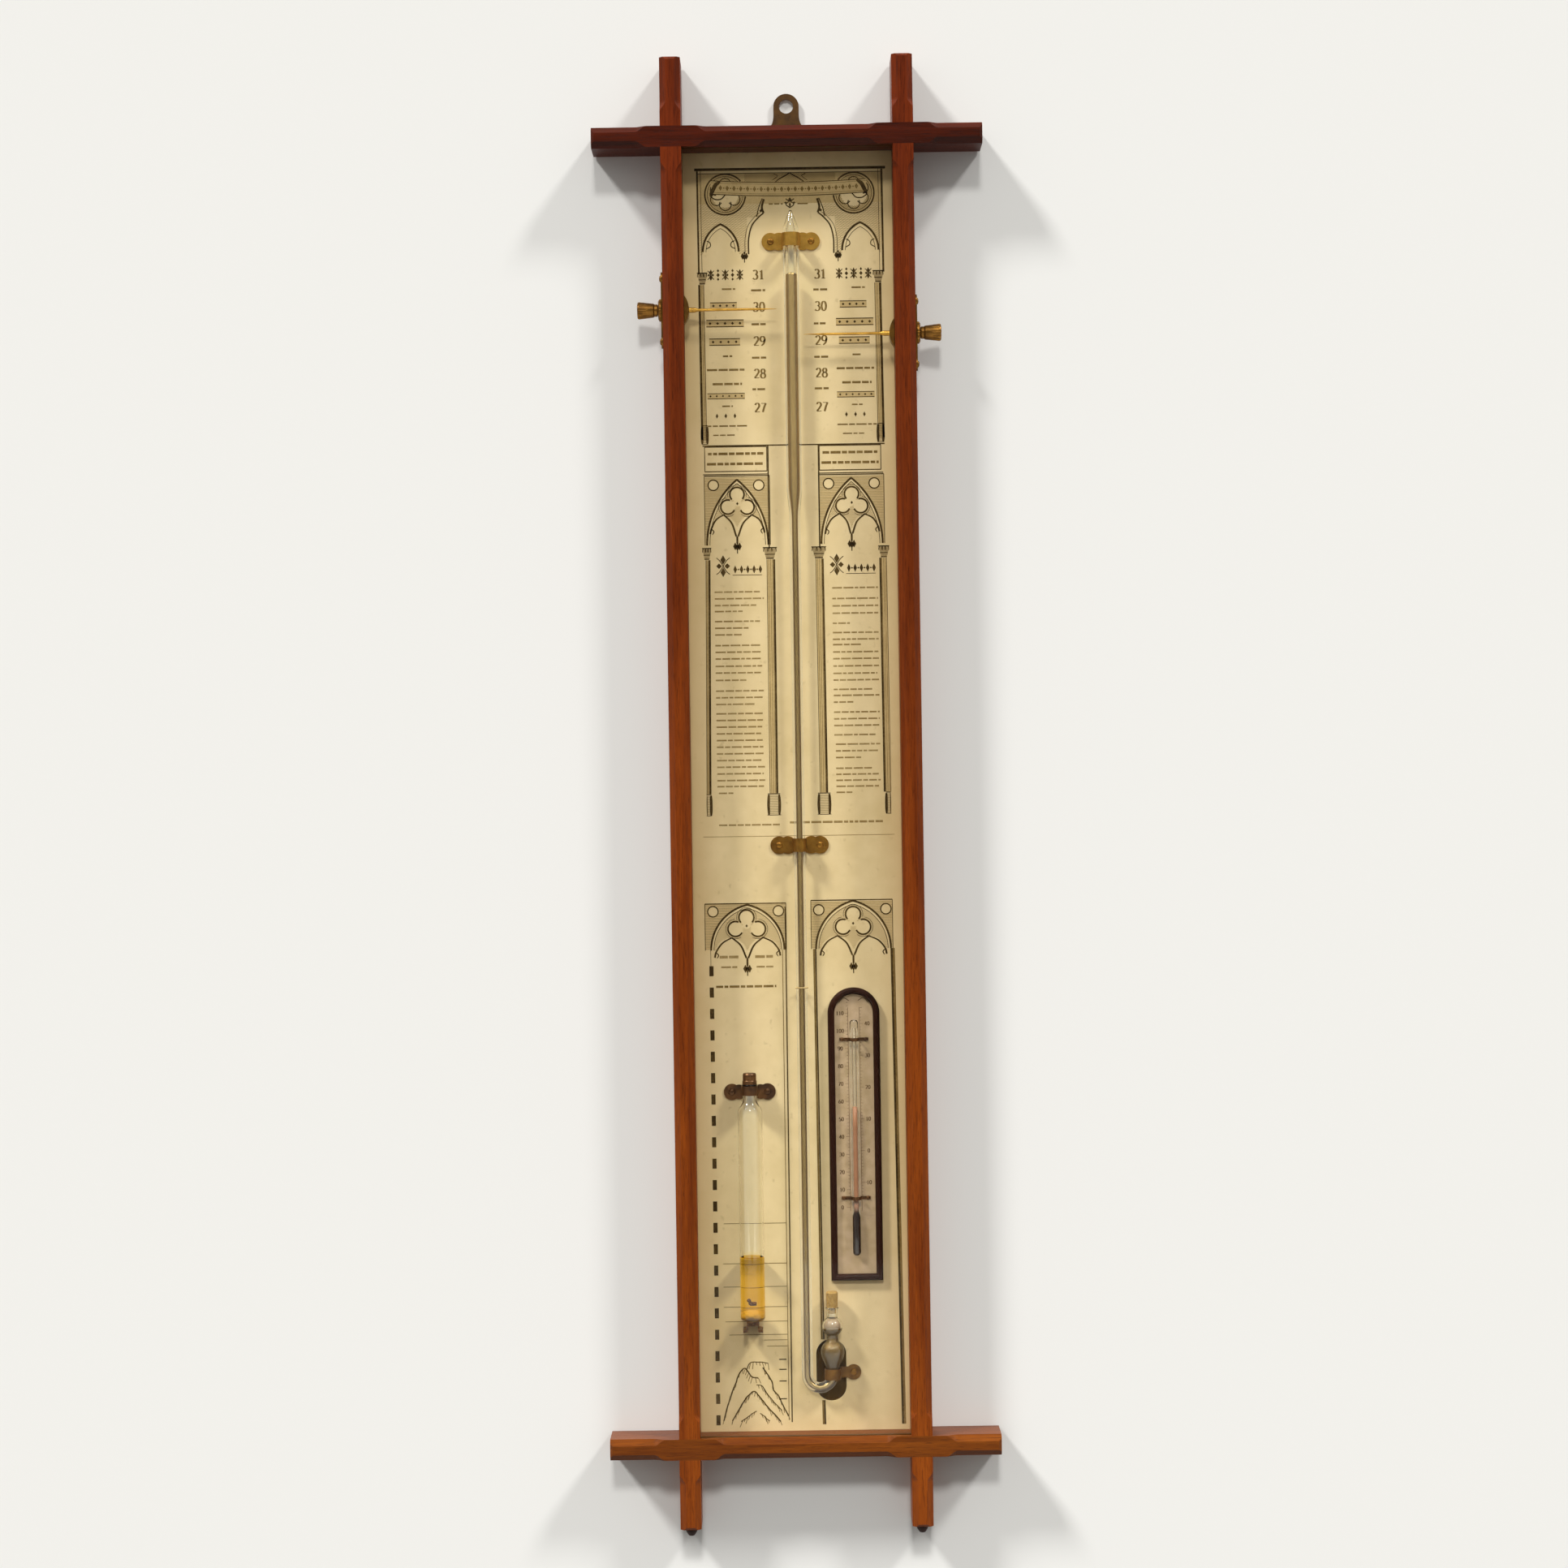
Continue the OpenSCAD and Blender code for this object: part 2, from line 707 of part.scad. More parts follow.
// The hanger's outline, grown by a gap where the rail makes room for it
module hanger_solid(gap) {
    w = hanger_foot_width / 2 + gap;
    low = -top_rail_drop - hanger_foot_length - gap;
    r = hanger_ring_radius + gap;
    foot = -top_rail_drop + hanger_shoulder_height;
    side = concat([[w, low]],
        [for (a = [0:15:90])
            [w - (w - r) * sin(a), foot + hanger_flare_height * (1 - cos(a))]],
        [[r, 0]]);
    other = [for (i = [len(side) - 1:-1:0]) [-side[i][0], side[i][1]]];
    translate([0, 0.001, 0])
        rotate([90, 0, 0])
            linear_extrude(height = hanger_thickness + gap + 0.001)
                polygon(concat(side, other));
}

module hanger_plate() {
    color(bronze)
        difference() {
            translate([0, 0, 0])
                intersection() {
                    union() {
                        hanger_solid(0);
                        peg_y(0, 0, -hanger_thickness, 0, hanger_ring_radius);
                    }
                    translate([-50, -hanger_thickness, -50])
                        cube([100, hanger_thickness, 100]);
                }
            peg_y(0, 1, -hanger_thickness - 1, 0, hanger_hole_radius);
            for (x = [-1, 1])
                hanger_screw(x, hole_gap);
        }
}

module hanger_screw(x, gap) {
    t = hanger_thickness;
    difference() {
        turned_y(x * hanger_screw_spacing / 2, 0, hanger_screw_z(), [
            [0, 0.1 - gap], [3 + gap, 0.1 - gap], [3 + gap, 0.35], [1.5 + gap, t],
            [1.5 + gap, 9], [0.2, 12.5], [0, 12.5],
        ]);
        if (gap == 0)
            translate([x * hanger_screw_spacing / 2, 0, hanger_screw_z()])
                cube([7, 1.2, 0.7], center = true);
    }
}

module hanger_screws() {
    color(bronze)
        for (x = [-1, 1])
            hanger_screw(x, 0);
}

// Profile of the bulb, the ball and the stem, a wall's thickness in from the outside
function cistern_profile(wall, foot) =
    let (
        b = bulb_radius - wall,
        s = ball_radius - wall,
        n = neck_radius - wall,
        t = stem_radius - wall,
        up = asin(sqrt(1 - pow(n / b, 2))),
        down = -asin(sqrt(1 - pow(n / s, 2))),
        top = asin(sqrt(1 - pow(t / s, 2)))
    )
    concat(
        [[0, bend_z]],
        swell(bend_z, foot, bulb_z, b, 10),
        arc(0, bulb_z, b, 6, up, 9),
        arc(0, ball_z, s, down, top, 16)
    );

module cistern_outside() {
    translate([cistern_x, wide_y, 0])
        rotate_extrude()
            polygon(concat(cistern_profile(0, tube_radius), [
                [stem_radius, stem_top_z - 1.4], [stem_radius + 0.8, stem_top_z - 0.5],
                [stem_radius + 0.8, stem_top_z], [0, stem_top_z],
            ]));
}

module cistern_inside() {
    translate([cistern_x, wide_y, 0])
        rotate_extrude()
            polygon(concat(cistern_profile(bulb_wall, tube_bore), [
                [cork_bore, stem_top_z + 1], [0, stem_top_z + 1],
            ]));
}

module bend(r) {
    translate([tube_x + bend_radius, wide_y, bend_z])
        rotate([-90, 0, 0])
            rotate_extrude(angle = 180)
                translate([bend_radius, 0])
                    circle(r = r, $fn = 32);
}

module barometer_tube() {
    top = tube_top_z;
    low = narrow_z - narrow_length;
    color(pale_glass)
        difference() {
            union() {
                translate([tube_x, wide_y, 0])
                    rotate_extrude()
                        polygon(concat(
                            [[0, bend_z], [tube_radius, bend_z]],
                            swell(low, tube_radius, narrow_z, wide_radius, 8),
                            [[wide_radius, top - 14], [wide_radius * 0.9, top - 11.4],
                                [wide_radius * 0.6, top - 7], [wide_radius * 0.3, top - 2.2],
                                [wide_radius * 0.16, top - 0.4], [0, top]]));
                bend(tube_radius);
                cistern_outside();
            }
            translate([tube_x, wide_y, 0])
                rotate_extrude()
                    polygon(concat(
                        [[0, bend_z], [tube_bore, bend_z]],
                        swell(low, tube_bore, narrow_z, wide_bore, 8),
                        [[wide_bore, top - 15], [wide_bore * 0.5, top - 9], [0, top - 5]]));
            bend(tube_bore);
            cistern_inside();
        }
}

module mercury() {
    gap = 0.02;
    low = narrow_z - narrow_length;
    top = mercury_top_z;
    r = wide_bore - gap;
    color(silver) {
        translate([tube_x, wide_y, 0])
            rotate_extrude()
                polygon(concat(
                    [[0, bend_z], [tube_bore - gap, bend_z]],
                    swell(low, tube_bore - gap, narrow_z, r, 8),
                    [[r, top - 1.3], [r * 0.8, top - 0.6], [r * 0.45, top - 0.1], [0, top]]));
        bend(tube_bore - gap);
        intersection() {
            translate([cistern_x, wide_y, 0])
                rotate_extrude()
                    polygon(concat(cistern_profile(bulb_wall + gap, tube_bore - gap),
                        [[0, ball_z + ball_radius]]));
            translate([cistern_x, wide_y, bend_z])
                cylinder(h = cistern_level_z - bend_z, r = 20);
        }
    }
}

module cistern_stopper() {
    r = cork_radius;
    color(pale_cork)
        translate([cistern_x, wide_y, cork_z])
            rotate_extrude()
                polygon([
                    [0, -4.2], [cork_bore - 0.25, -4.2], [cork_bore - hole_gap, -0.1],
                    [cork_bore - hole_gap, 0.05], [r - 0.3, 0.05], [r, cork_rise - 1],
                    [r - 0.8, cork_rise], [0, cork_rise],
                ]);
}

// Strap over a tube, seen along the tube: the arch and its two feet on the card
module saddle_outline(depth, r, t) {
    n = 20;
    foot = r + t + 1.5;
    polygon(concat(
        [[-foot, 0], [-foot, -t], [-r - t, -t]],
        arc(0, -depth, r + t, 180, 360, n),
        [[r + t, -t], [foot, -t], [foot, 0], [r, 0]],
        arc(0, -depth, r, 360, 180, n),
        [[-r, 0]]));
}

module saddle(x, y, z, r, height, t) {
    translate([x, y, z - height / 2])
        linear_extrude(height = height)
            saddle_outline(y - wide_y, r, t);
}

// A clip over the long tube, with two round lobes on each side
module tube_clip(z, r) {
    inside = r + clip_gap;
    t = strip_thickness;
    difference() {
        union() {
            saddle(tube_x, card_y, z, inside, strap_height, t);
            difference() {
                for (x = [-outer_lobe_x, -inner_lobe_x, inner_lobe_x, outer_lobe_x])
                    peg_y(tube_x + x, card_y, card_y - t, z, lobe_radius);
                translate([tube_x, card_y, z])
                    cube([2 * inside + 0.4, 6, 3 * lobe_radius], center = true);
            }
        }
        screw_holes(clip_screws_at, card_y + 1, card_y - 3);
    }
}

module upper_tube_clip() {
    color(brass)
        tube_clip(upper_clip_z, wide_radius);
}

module middle_tube_clip() {
    color(brass)
        tube_clip(middle_clip_z, tube_radius);
}

module cistern_clip() {
    r = cistern_clip_radius;
    t = strip_thickness;
    y = wide_y - card_y;
    color(brass)
        difference() {
            union() {
                translate([cistern_x, card_y, cistern_clip_z - cistern_clip_height / 2])
                    linear_extrude(height = cistern_clip_height)
                        polygon(concat(
                            arc(0, y, r + t, 110, 360, 26),
                            [[r + t, -t], [cistern_lobe_x, -t], [cistern_lobe_x, 0], [r, 0]],
                            arc(0, y, r, 360, 110, 26)));
                peg_y(cistern_x + cistern_lobe_x, card_y, card_y - t, cistern_clip_z,
                    cistern_lobe_radius);
            }
            screw_holes(clip_screws_at, card_y + 1, card_y - 3);
        }
}

module round_screw(x, z, seat_y, r = screw_head_radius) {
    h = screw_head_height;
    s = screw_shank_radius;
    difference() {
        turned_y(x, seat_y, z, [
            [0, seat_y - card_y - screw_bite + 0.1], [s * 0.3, seat_y - card_y - screw_bite + 0.1],
            [s, seat_y - card_y - screw_bite + 1.2], [s, 0], [r, 0], [r * 0.97, h * 0.3],
            [r * 0.8, h * 0.68], [r * 0.5, h * 0.92], [0, h],
        ]);
        translate([x, seat_y - h, z])
            rotate([0, 30 + x, 0])
                cube([2 * r + 1, 1, 0.7], center = true);
    }
}

module clip_screws() {
    color(brass)
        for (p = clip_screws_at)
            round_screw(p[0], p[1], card_y - strip_thickness);
}

// Inside of the storm glass's round bottom, a gap in from its wall
function storm_floor(gap) =
    let (r = storm_radius - 3, b = storm_bottom_z, w = storm_wall)
    concat(arc(r, b + 3 + w, 3 - w - gap, 0, -75, 5), [[r, b + 1.6 + gap], [0, b + 1.6 + gap]]);

module storm_glass() {
    r = storm_radius;
    n = storm_neck_radius;
    w = storm_wall;
    b = storm_bottom_z;
    s = storm_shoulder_z;
    color(pale_glass)
        translate([storm_x, storm_y, 0])
            rotate_extrude()
                polygon(concat(
                    [[0, b], [r - 3, b]], arc(r - 3, b + 3, 3, -75, 0, 5),
                    swell(s, r, s + shoulder_height, n, 8),
                    [[n, storm_rim_z - 1], [n + 0.5, storm_rim_z - 0.4], [n + 0.5, storm_rim_z],
                        [n - w, storm_rim_z]],
                    swell(s + shoulder_height, n - w, s, r - w, 8),
                    storm_floor(0)));
}

// What fills the storm glass between two heights
module storm_fill(z0, z1) {
    r = storm_radius - storm_wall - 0.02;
    intersection() {
        translate([storm_x, storm_y, 0])
            rotate_extrude()
                polygon(concat([[0, liquid_top_z], [r, liquid_top_z]], storm_floor(0.02)));
        translate([storm_x, storm_y, z0])
            cylinder(h = z1 - z0, r = r + 1);
    }
}

module storm_liquid() {
    color([0.85, 0.68, 0.25, 0.6])
        storm_fill(storm_bottom_z + crystal_depth, liquid_top_z);
}

module storm_crystals() {
    color([0.8, 0.62, 0.3])
        storm_fill(storm_bottom_z, storm_bottom_z + crystal_depth);
}

module storm_stopper() {
    r = stopper_radius;
    h = stopper_height;
    n = storm_neck_radius - storm_wall - hole_gap;
    color(dark_brass)
        translate([storm_x, storm_y, storm_rim_z])
            rotate_extrude()
                polygon([[0, -6], [n - 0.3, -6], [n, -0.1], [n, 0], [r, 0], [r, h * 0.3],
                    [r * 0.94, h * 0.36], [r * 0.94, h * 0.86], [r * 0.82, h], [0, h]]);
}

module storm_clip() {
    t = strip_thickness;
    inside = storm_neck_radius + clip_gap;
    h = storm_strap_height;
    color(dark_brass)
        difference() {
            union() {
                translate([storm_x, card_y, storm_clip_z - h / 2])
                    linear_extrude(height = h)
                        saddle_outline(card_y - storm_y, inside, t);
                difference() {
                    for (side = [-1, 1]) {
                        peg_y(storm_x + side * storm_lobe_x, card_y, card_y - t,
                            storm_lobe_z, storm_lobe_radius);
                        peg_y(storm_x + side * storm_inner_lobe_x, card_y, card_y - t,
                            storm_lobe_z, storm_lobe_radius * 0.9);
                    }
                    translate([storm_x, card_y, storm_clip_z])
                        cube([2 * inside + 0.4, 6, 40], center = true);
                }
            }
            screw_holes(storm_screws_at, card_y + 1, card_y - 3);
        }
}

// Stirrup that the storm glass stands on: a bent strip with a back plate
module storm_stirrup() {
    t = strip_thickness;
    c = crown_width / 2;
    h = crown_height;
    w = stirrup_width / 2;
    f = h + stirrup_foot;
    color(dark_brass)
        difference() {
            translate([storm_x, card_y, storm_bottom_z]) {
                rotate([90, 0, 0])
                    linear_extrude(height = stirrup_reach)
                        polygon([
                            [-c, 0], [c, 0], [c, -h], [w, -h - 0.5], [w, -f], [c - t, 0.6 - f],
                            [c - t, -t], [t - c, -t], [t - c, 0.6 - f], [-w, -f],
                            [-w, -h - 0.5], [-c, -h],
                        ]);
                translate([-c + t / 2, -t, -h])
                    cube([2 * c - t, t, h - t / 2]);
            }
            screw_holes(storm_screws_at, card_y + 1, card_y - 3);
        }
}

module storm_screws() {
    color(dark_brass) {
        for (p = [storm_screws_at[0], storm_screws_at[1]])
            round_screw(p[0], p[1], card_y - strip_thickness);
        round_screw(storm_screws_at[2][0], storm_screws_at[2][1], card_y - strip_thickness,
            stirrup_screw_head);
    }
}

// Section of the thermometer's moulding, outer edge at 0
module moulding_section() {
    w = moulding_width;
    d = moulding_depth;
    polygon(concat(
        [[0, 0], [w - plate_bite, 0], [w - plate_bite, plate_thickness + 0.02],
            [w, plate_thickness + 0.02], [w, d * 0.45]],
        arc(w * 0.5, d * 0.45, w * 0.5, 12, 168, 8),
        [[0, d * 0.45]]));
}

// A straight length of moulding along Z with its ends mitred or square
module moulding(length, mitre_low) {
    difference() {
        translate([0, 0, 0])
            linear_extrude(height = length)
                moulding_section();
        if (mitre_low)
            rotate([0, -45, 0])
                translate([-40, -20, -80])
                    cube([80, 40, 80]);
    }
}

module thermometer_frame() {
    half = thermo_width / 2;
    leg = arch_z - thermo_bottom_z;
    color(black)
        translate([thermo_x, card_y, 0])
            for (side = [0, 1])
                mirror([side, 0, 0]) {
                    translate([0, 0, arch_z])
                        rotate([90, 0, 0])
                            rotate_extrude(angle = 90)
                                translate([half, 0])
                                    mirror([1, 0])
                                        moulding_section();
                    translate([half, 0, thermo_bottom_z])
                        rotate([0, 0, 180])
                            moulding(leg, true);
                    translate([half, 0, thermo_bottom_z])
                        mirror([0, 1, 0])
                            rotate([0, -90, 0])
                                moulding(half, true);
                }
}

// Arched outline of the scale plate
module plate_outline(half, low) {
    polygon(concat(arc(0, 0, half, 0, 180, 36), [[-half, low], [half, low]]));
}

module thermometer_plate() {
    half = thermo_width / 2 - moulding_width + plate_bite - hole_gap;
    low = thermo_bottom_z + moulding_width - plate_bite + hole_gap - arch_z;
    color([0.64, 0.55, 0.46])
        difference() {
            translate([thermo_x, card_y, arch_z])
                rotate([90, 0, 0])
                    linear_extrude(height = plate_thickness)
                        plate_outline(half, low);
            for (z = [thermo_clip_high_z, thermo_clip_low_z])
                for (x = [-thermo_pin_x, thermo_pin_x])
                    peg_y(thermo_x + x, card_y + 1, plate_y - 1, z, 0.5 + hole_gap);
        }
}

function bulb_ends() = thermo_radius - 0.2;

module thermometer_tube() {
    r = thermo_radius;
    b = bulb_ends();
    low = thermo_bulb_bottom_z;
    high = thermo_bulb_top_z;
    color(pale_glass)
        translate([thermo_x, thermo_y, 0])
            difference() {
                rotate_extrude($fn = 32)
                    polygon(concat(
                        arc(0, low + b, b, -88, 0, 8), [[b, high - 4]],
                        [[r * 0.8, high], [r, high + 4], [r, thermo_tube_top_z - 2],
                            [r * 0.7, thermo_tube_top_z - 0.6], [0, thermo_tube_top_z],
                            [0, low]]));
                rotate_extrude($fn = 24)
                    polygon([[0, low + 1], [b - 1.8, low + 1.6], [b - 1, low + 3],
                        [b - 1, high - 6], [thermo_bore, high - 1],
                        [thermo_bore, thermo_tube_top_z - 6], [0, thermo_tube_top_z - 6]]);
            }
}

module thermometer_spirit() {
    b = bulb_ends();
    low = thermo_bulb_bottom_z;
    high = thermo_bulb_top_z;
    gap = 0.02;
    color([0.55, 0.2, 0.16])
        translate([thermo_x, thermo_y, 0])
            rotate_extrude($fn = 24)
                polygon([[0, low + 1 + gap], [b - 1.8 - gap, low + 1.6 + gap],
                    [b - 1 - gap, low + 3], [b - 1 - gap, high - 6],
                    [thermo_bore - gap, high - 1], [thermo_bore - gap, spirit_top_z],
                    [0, spirit_top_z]]);
}

module thermometer_clips() {
    t = thermo_strip_thickness;
    h = thermo_strip_height;
    inside = thermo_radius + 0.1;
    end = thermo_pin_x + 1.9;
    color(brass)
        for (z = [thermo_clip_high_z, thermo_clip_low_z])
            difference() {
                union() {
                    translate([thermo_x, plate_y, z - h / 2])
                        linear_extrude(height = h)
                            saddle_outline(plate_y - thermo_y, inside, t);
                    for (side = [-1, 1])
                        translate([thermo_x + side * (inside + end) / 2, plate_y - t / 2, z])
                            cube([end - inside, t, h], center = true);
                }
                for (x = [-thermo_pin_x, thermo_pin_x])
                    peg_y(thermo_x + x, plate_y + 1, plate_y - 2, z, 0.5 + hole_gap);
            }
}

module thermometer_pins() {
    r = thermo_pin_head;
    color(brass)
        for (z = [thermo_clip_high_z, thermo_clip_low_z])
            for (x = [-thermo_pin_x, thermo_pin_x])
                turned_y(thermo_x + x, plate_y - thermo_strip_thickness, z, [
                    [0, -1.6], [0.5, -1.6], [0.5, 0], [r, 0], [r * 0.85, 0.5], [r * 0.5, 0.8],
                    [0, 0.9],
                ]);
}

// The pieces of a pointer are drawn for the right stile, their centre at height 0

module slide_plate_shape() {
    t = slide_thickness;
    translate([block_outer_x, pointer_y, 0])
        difference() {
            union() {
                translate([0, -slide_width / 2, -slide_end_z])
                    cube([t, slide_width, 2 * slide_end_z]);
                for (z = [-slide_end_z, slide_end_z])
                    translate([0, 0, z])
                        rotate([0, 90, 0]) {
                            cylinder(h = t, r = slide_end_radius);
                            rotate_extrude()
                                polygon([[0, t / 2], [rivet_radius, t / 2], [rivet_radius, t],
                                    [rivet_radius * 0.86, t + rivet_height * 0.55],
                                    [rivet_radius * 0.5, t + rivet_height * 0.9],
                                    [0, t + rivet_height]]);
                        }
            }
            translate([-1, 0, 0])
                rotate([0, 90, 0])
                    cylinder(h = t + 2, r = spindle_radius + hole_gap);
        }
}

module spindle_shape() {
    long = knob_x + knob_bore_depth - 0.5 - block_inner_x;
    translate([block_inner_x, pointer_y, 0]) {
        translate([0, -slot_width / 2 + slot_gap, -block_height / 2])
            cube([block_outer_x - block_inner_x, slot_width - 2 * slot_gap, block_height]);
        translate([-1.5, 0, 0])
            rotate([0, 90, 0])
                cylinder(h = long + 1.5, r = spindle_radius - (spindle_radius > 2.3 ? 0.1 : 0));
    }
}

module inner_plate_shape() {
    half = inner_height / 2;
    s = inner_thickness;
    r = (half * half + s * s) / (2 * s);
    a = asin(half / r);
    difference() {
        translate([block_inner_x, pointer_y + inner_width / 2, 0])
            rotate([90, 0, 0])
                linear_extrude(height = inner_width)
                    polygon(arc(r - s, 0, r, 180 - a, 180 + a, 20));
        translate([block_inner_x - s - 1, pointer_y, 0])
            rotate([0, 90, 0])
                cylinder(h = s + 2, r = spindle_radius + hole_gap);
    }
}

module pointer_shape(reach) {
    x = block_inner_x - 1.55;
    long = x - (sight_x - reach);
    translate([x, pointer_y, 0])
        rotate([0, -90, 0])
            rotate_extrude($fn = 24)
                polygon([[0, 0], [boss_radius, 0], [boss_radius, 6], [pointer_radius, 8.5],
                    [pointer_radius * 0.8, long - point_length], [0.15, long], [0, long]]);
}

module collar_shape() {
    t = collar_thickness;
    translate([collar_x, pointer_y, 0])
        rotate([0, 90, 0])
            difference() {
                rotate_extrude()
                    polygon([[spindle_radius + hole_gap, 0], [collar_radius, 0],
                        [collar_radius, t * 0.55], [collar_radius - 1.4, t],
                        [spindle_radius + hole_gap, t]]);
                for (i = [0:collar_scallops - 1])
                    rotate([0, 0, 360 * i / collar_scallops])
                        translate([collar_radius + 0.5, 0, -1])
                            cylinder(h = t + 2, r = 1.2, $fn = 16);
            }
}

module knob_shape() {
    h = knob_length;
    r = knob_radius;
    translate([knob_x, pointer_y, 0])
        rotate([0, 90, 0])
            difference() {
                rotate_extrude()
                    polygon([[0, 0], [knob_root_radius - 0.6, 0], [knob_root_radius, 0.6],
                        [knob_root_radius, 2.6], [knob_root_radius + 0.6, 3.4],
                        [r, h - 1.3], [r - 0.35, h - 0.35], [r - 1.3, h], [0, h]]);
                for (i = [0:knob_flutes - 1])
                    rotate([0, 0, 360 * (i + 0.5) / knob_flutes])
                        translate([r + 0.25, 0, 3.6])
                            cylinder(h = h, r = flute_radius, $fn = 16);
                translate([0, 0, -1])
                    cylinder(h = knob_bore_depth + 1, r = spindle_radius + knob_gap);
            }
}

module left_slide_plate() {
    color(brass)
        mirror([1, 0, 0])
            translate([0, 0, left_pointer_z])
                slide_plate_shape();
}

module left_spindle() {
    color(brass)
        mirror([1, 0, 0])
            translate([0, 0, left_pointer_z])
                spindle_shape();
}

module left_inner_plate() {
    color(brass)
        mirror([1, 0, 0])
            translate([0, 0, left_pointer_z])
                inner_plate_shape();
}

module left_pointer() {
    color(brass)
        mirror([1, 0, 0])
            translate([0, 0, left_pointer_z])
                pointer_shape(left_reach);
}

module left_collar() {
    color(brass)
        mirror([1, 0, 0])
            translate([0, 0, left_pointer_z])
                collar_shape();
}

module left_knob() {
    color(brass)
        mirror([1, 0, 0])
            translate([0, 0, left_pointer_z])
                knob_shape();
}

module right_slide_plate() {
    color(brass)
        translate([0, 0, right_pointer_z])
            slide_plate_shape();
}

module right_spindle() {
    color(brass)
        translate([0, 0, right_pointer_z])
            spindle_shape();
}

module right_inner_plate() {
    color(brass)
        translate([0, 0, right_pointer_z])
            inner_plate_shape();
}

module right_pointer() {
    color(brass)
        translate([0, 0, right_pointer_z])
            pointer_shape(right_reach);
}

module right_collar() {
    color(brass)
        translate([0, 0, right_pointer_z])
            collar_shape();
}

module right_knob() {
    color(brass)
        translate([0, 0, right_pointer_z])
            knob_shape();
}

left_stile();
right_stile();
top_rail();
bottom_rail();
left_tip();
right_tip();
glass_pane();
left_slip();
right_slip();
top_slip();
bottom_slip();
chart();
backboard();
backboard_pins();
hanger_plate();
hanger_screws();
barometer_tube();
mercury();
cistern_stopper();
upper_tube_clip();
middle_tube_clip();
cistern_clip();
clip_screws();
storm_glass();
storm_liquid();
storm_crystals();
storm_stopper();
storm_clip();
storm_stirrup();
storm_screws();
thermometer_frame();
thermometer_plate();
thermometer_tube();
thermometer_spirit();
thermometer_clips();
thermometer_pins();
left_slide_plate();
left_spindle();
left_inner_plate();
left_pointer();
left_collar();
left_knob();
right_slide_plate();
right_spindle();
right_inner_plate();
right_pointer();
right_collar();
right_knob();
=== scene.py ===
"""Long wall barometer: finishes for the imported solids, the glassware with what it holds, and the printing
on the card and on the thermometer's plate.

Shapes are in millimetres in the part's own frame and become metres where a mesh is made. The stage, the
camera and the patterns in the finishes are in metres. X runs to the viewer's right, Y into the wall and Z up,
from the centre of the hanging hole.
"""
import math

import bmesh
import bpy
import numpy as np
from mathutils import Matrix, Vector


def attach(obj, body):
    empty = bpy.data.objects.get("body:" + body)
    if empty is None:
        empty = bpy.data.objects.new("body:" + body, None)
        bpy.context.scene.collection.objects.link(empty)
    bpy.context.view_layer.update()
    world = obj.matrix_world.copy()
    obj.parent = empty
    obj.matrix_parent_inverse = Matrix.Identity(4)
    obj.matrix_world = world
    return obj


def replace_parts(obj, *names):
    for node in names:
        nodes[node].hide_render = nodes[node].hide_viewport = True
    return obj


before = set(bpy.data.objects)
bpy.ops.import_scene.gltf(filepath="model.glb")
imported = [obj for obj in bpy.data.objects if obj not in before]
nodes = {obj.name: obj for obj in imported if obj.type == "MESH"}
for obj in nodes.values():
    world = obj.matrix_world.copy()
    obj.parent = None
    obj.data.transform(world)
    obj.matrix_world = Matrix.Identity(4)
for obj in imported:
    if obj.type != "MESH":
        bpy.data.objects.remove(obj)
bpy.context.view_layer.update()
MM = 0.001

# Corners nearer than this, in metres, are made one
SAME_PLACE = 2e-7

# The siphon tube: its axis, its two widths, its bend and its short leg with the bulb, the ball and the stem
TUBE_X, TUBE_Y, TUBE_TOP = 2.0, -16.45, -80.3
WIDE_R, WIDE_BORE = 5.75, 2.75
TUBE_R, TUBE_BORE = 4.0, 1.45
NARROW_TOP, NARROW_LOW = -285.0, -311.0
BEND_Z, BEND_R, CISTERN_X = -949.1, 9.5, 21.0
BULB_Z, BULB_R = -931.8, 8.8
BALL_Z, BALL_R = -913.1, 7.65
NECK_R, STEM_R, STEM_TOP = 4.4, 4.1, -899.0
BLOWN_WALL = 1.0

# The mercury's two levels, and how far its rounded tops stand up
MERCURY_TOP, CISTERN_LEVEL = -126.9, -914.3
TOP_RISE, LEVEL_RISE = 1.3, 0.9
LEVEL_R = math.sqrt((BALL_R - BLOWN_WALL) ** 2 - (CISTERN_LEVEL - BALL_Z) ** 2)

# The oval recess in the backboard, where the board is dark: a dark stain with painted shade of the recess
RECESS_X, RECESS_Z = 20.0, -946.9
RECESS_HALF_X, RECESS_HALF_Z = 12.8, 25.0

# The storm glass
STORM_X, STORM_Y, STORM_R = -38.0, -18.0, 9.2
STORM_LOW, STORM_SHOULDER, STORM_RIM = -907.8, -752.0, -731.6
STORM_NECK, SHOULDER_RISE = 5.2, 9.0
LIQUID_TOP = -859.8

# The thermometer: its tube, the thread of spirit in it and the face of its plate
THERMO_X, THERMO_Y, THERMO_R = 40.4, -12.9, 3.2
THERMO_LOW, THERMO_BULB_TOP, THERMO_TOP = -861.2, -827.0, -684.8
THREAD_R, SPIRIT_TOP = 1.15, -749.6
PLATE_Y = -9.7

# The face of the card, where the printing lies, and how far its layers stand apart
PRINT_Y = -8.56
LAYER = 0.02


# Meshes

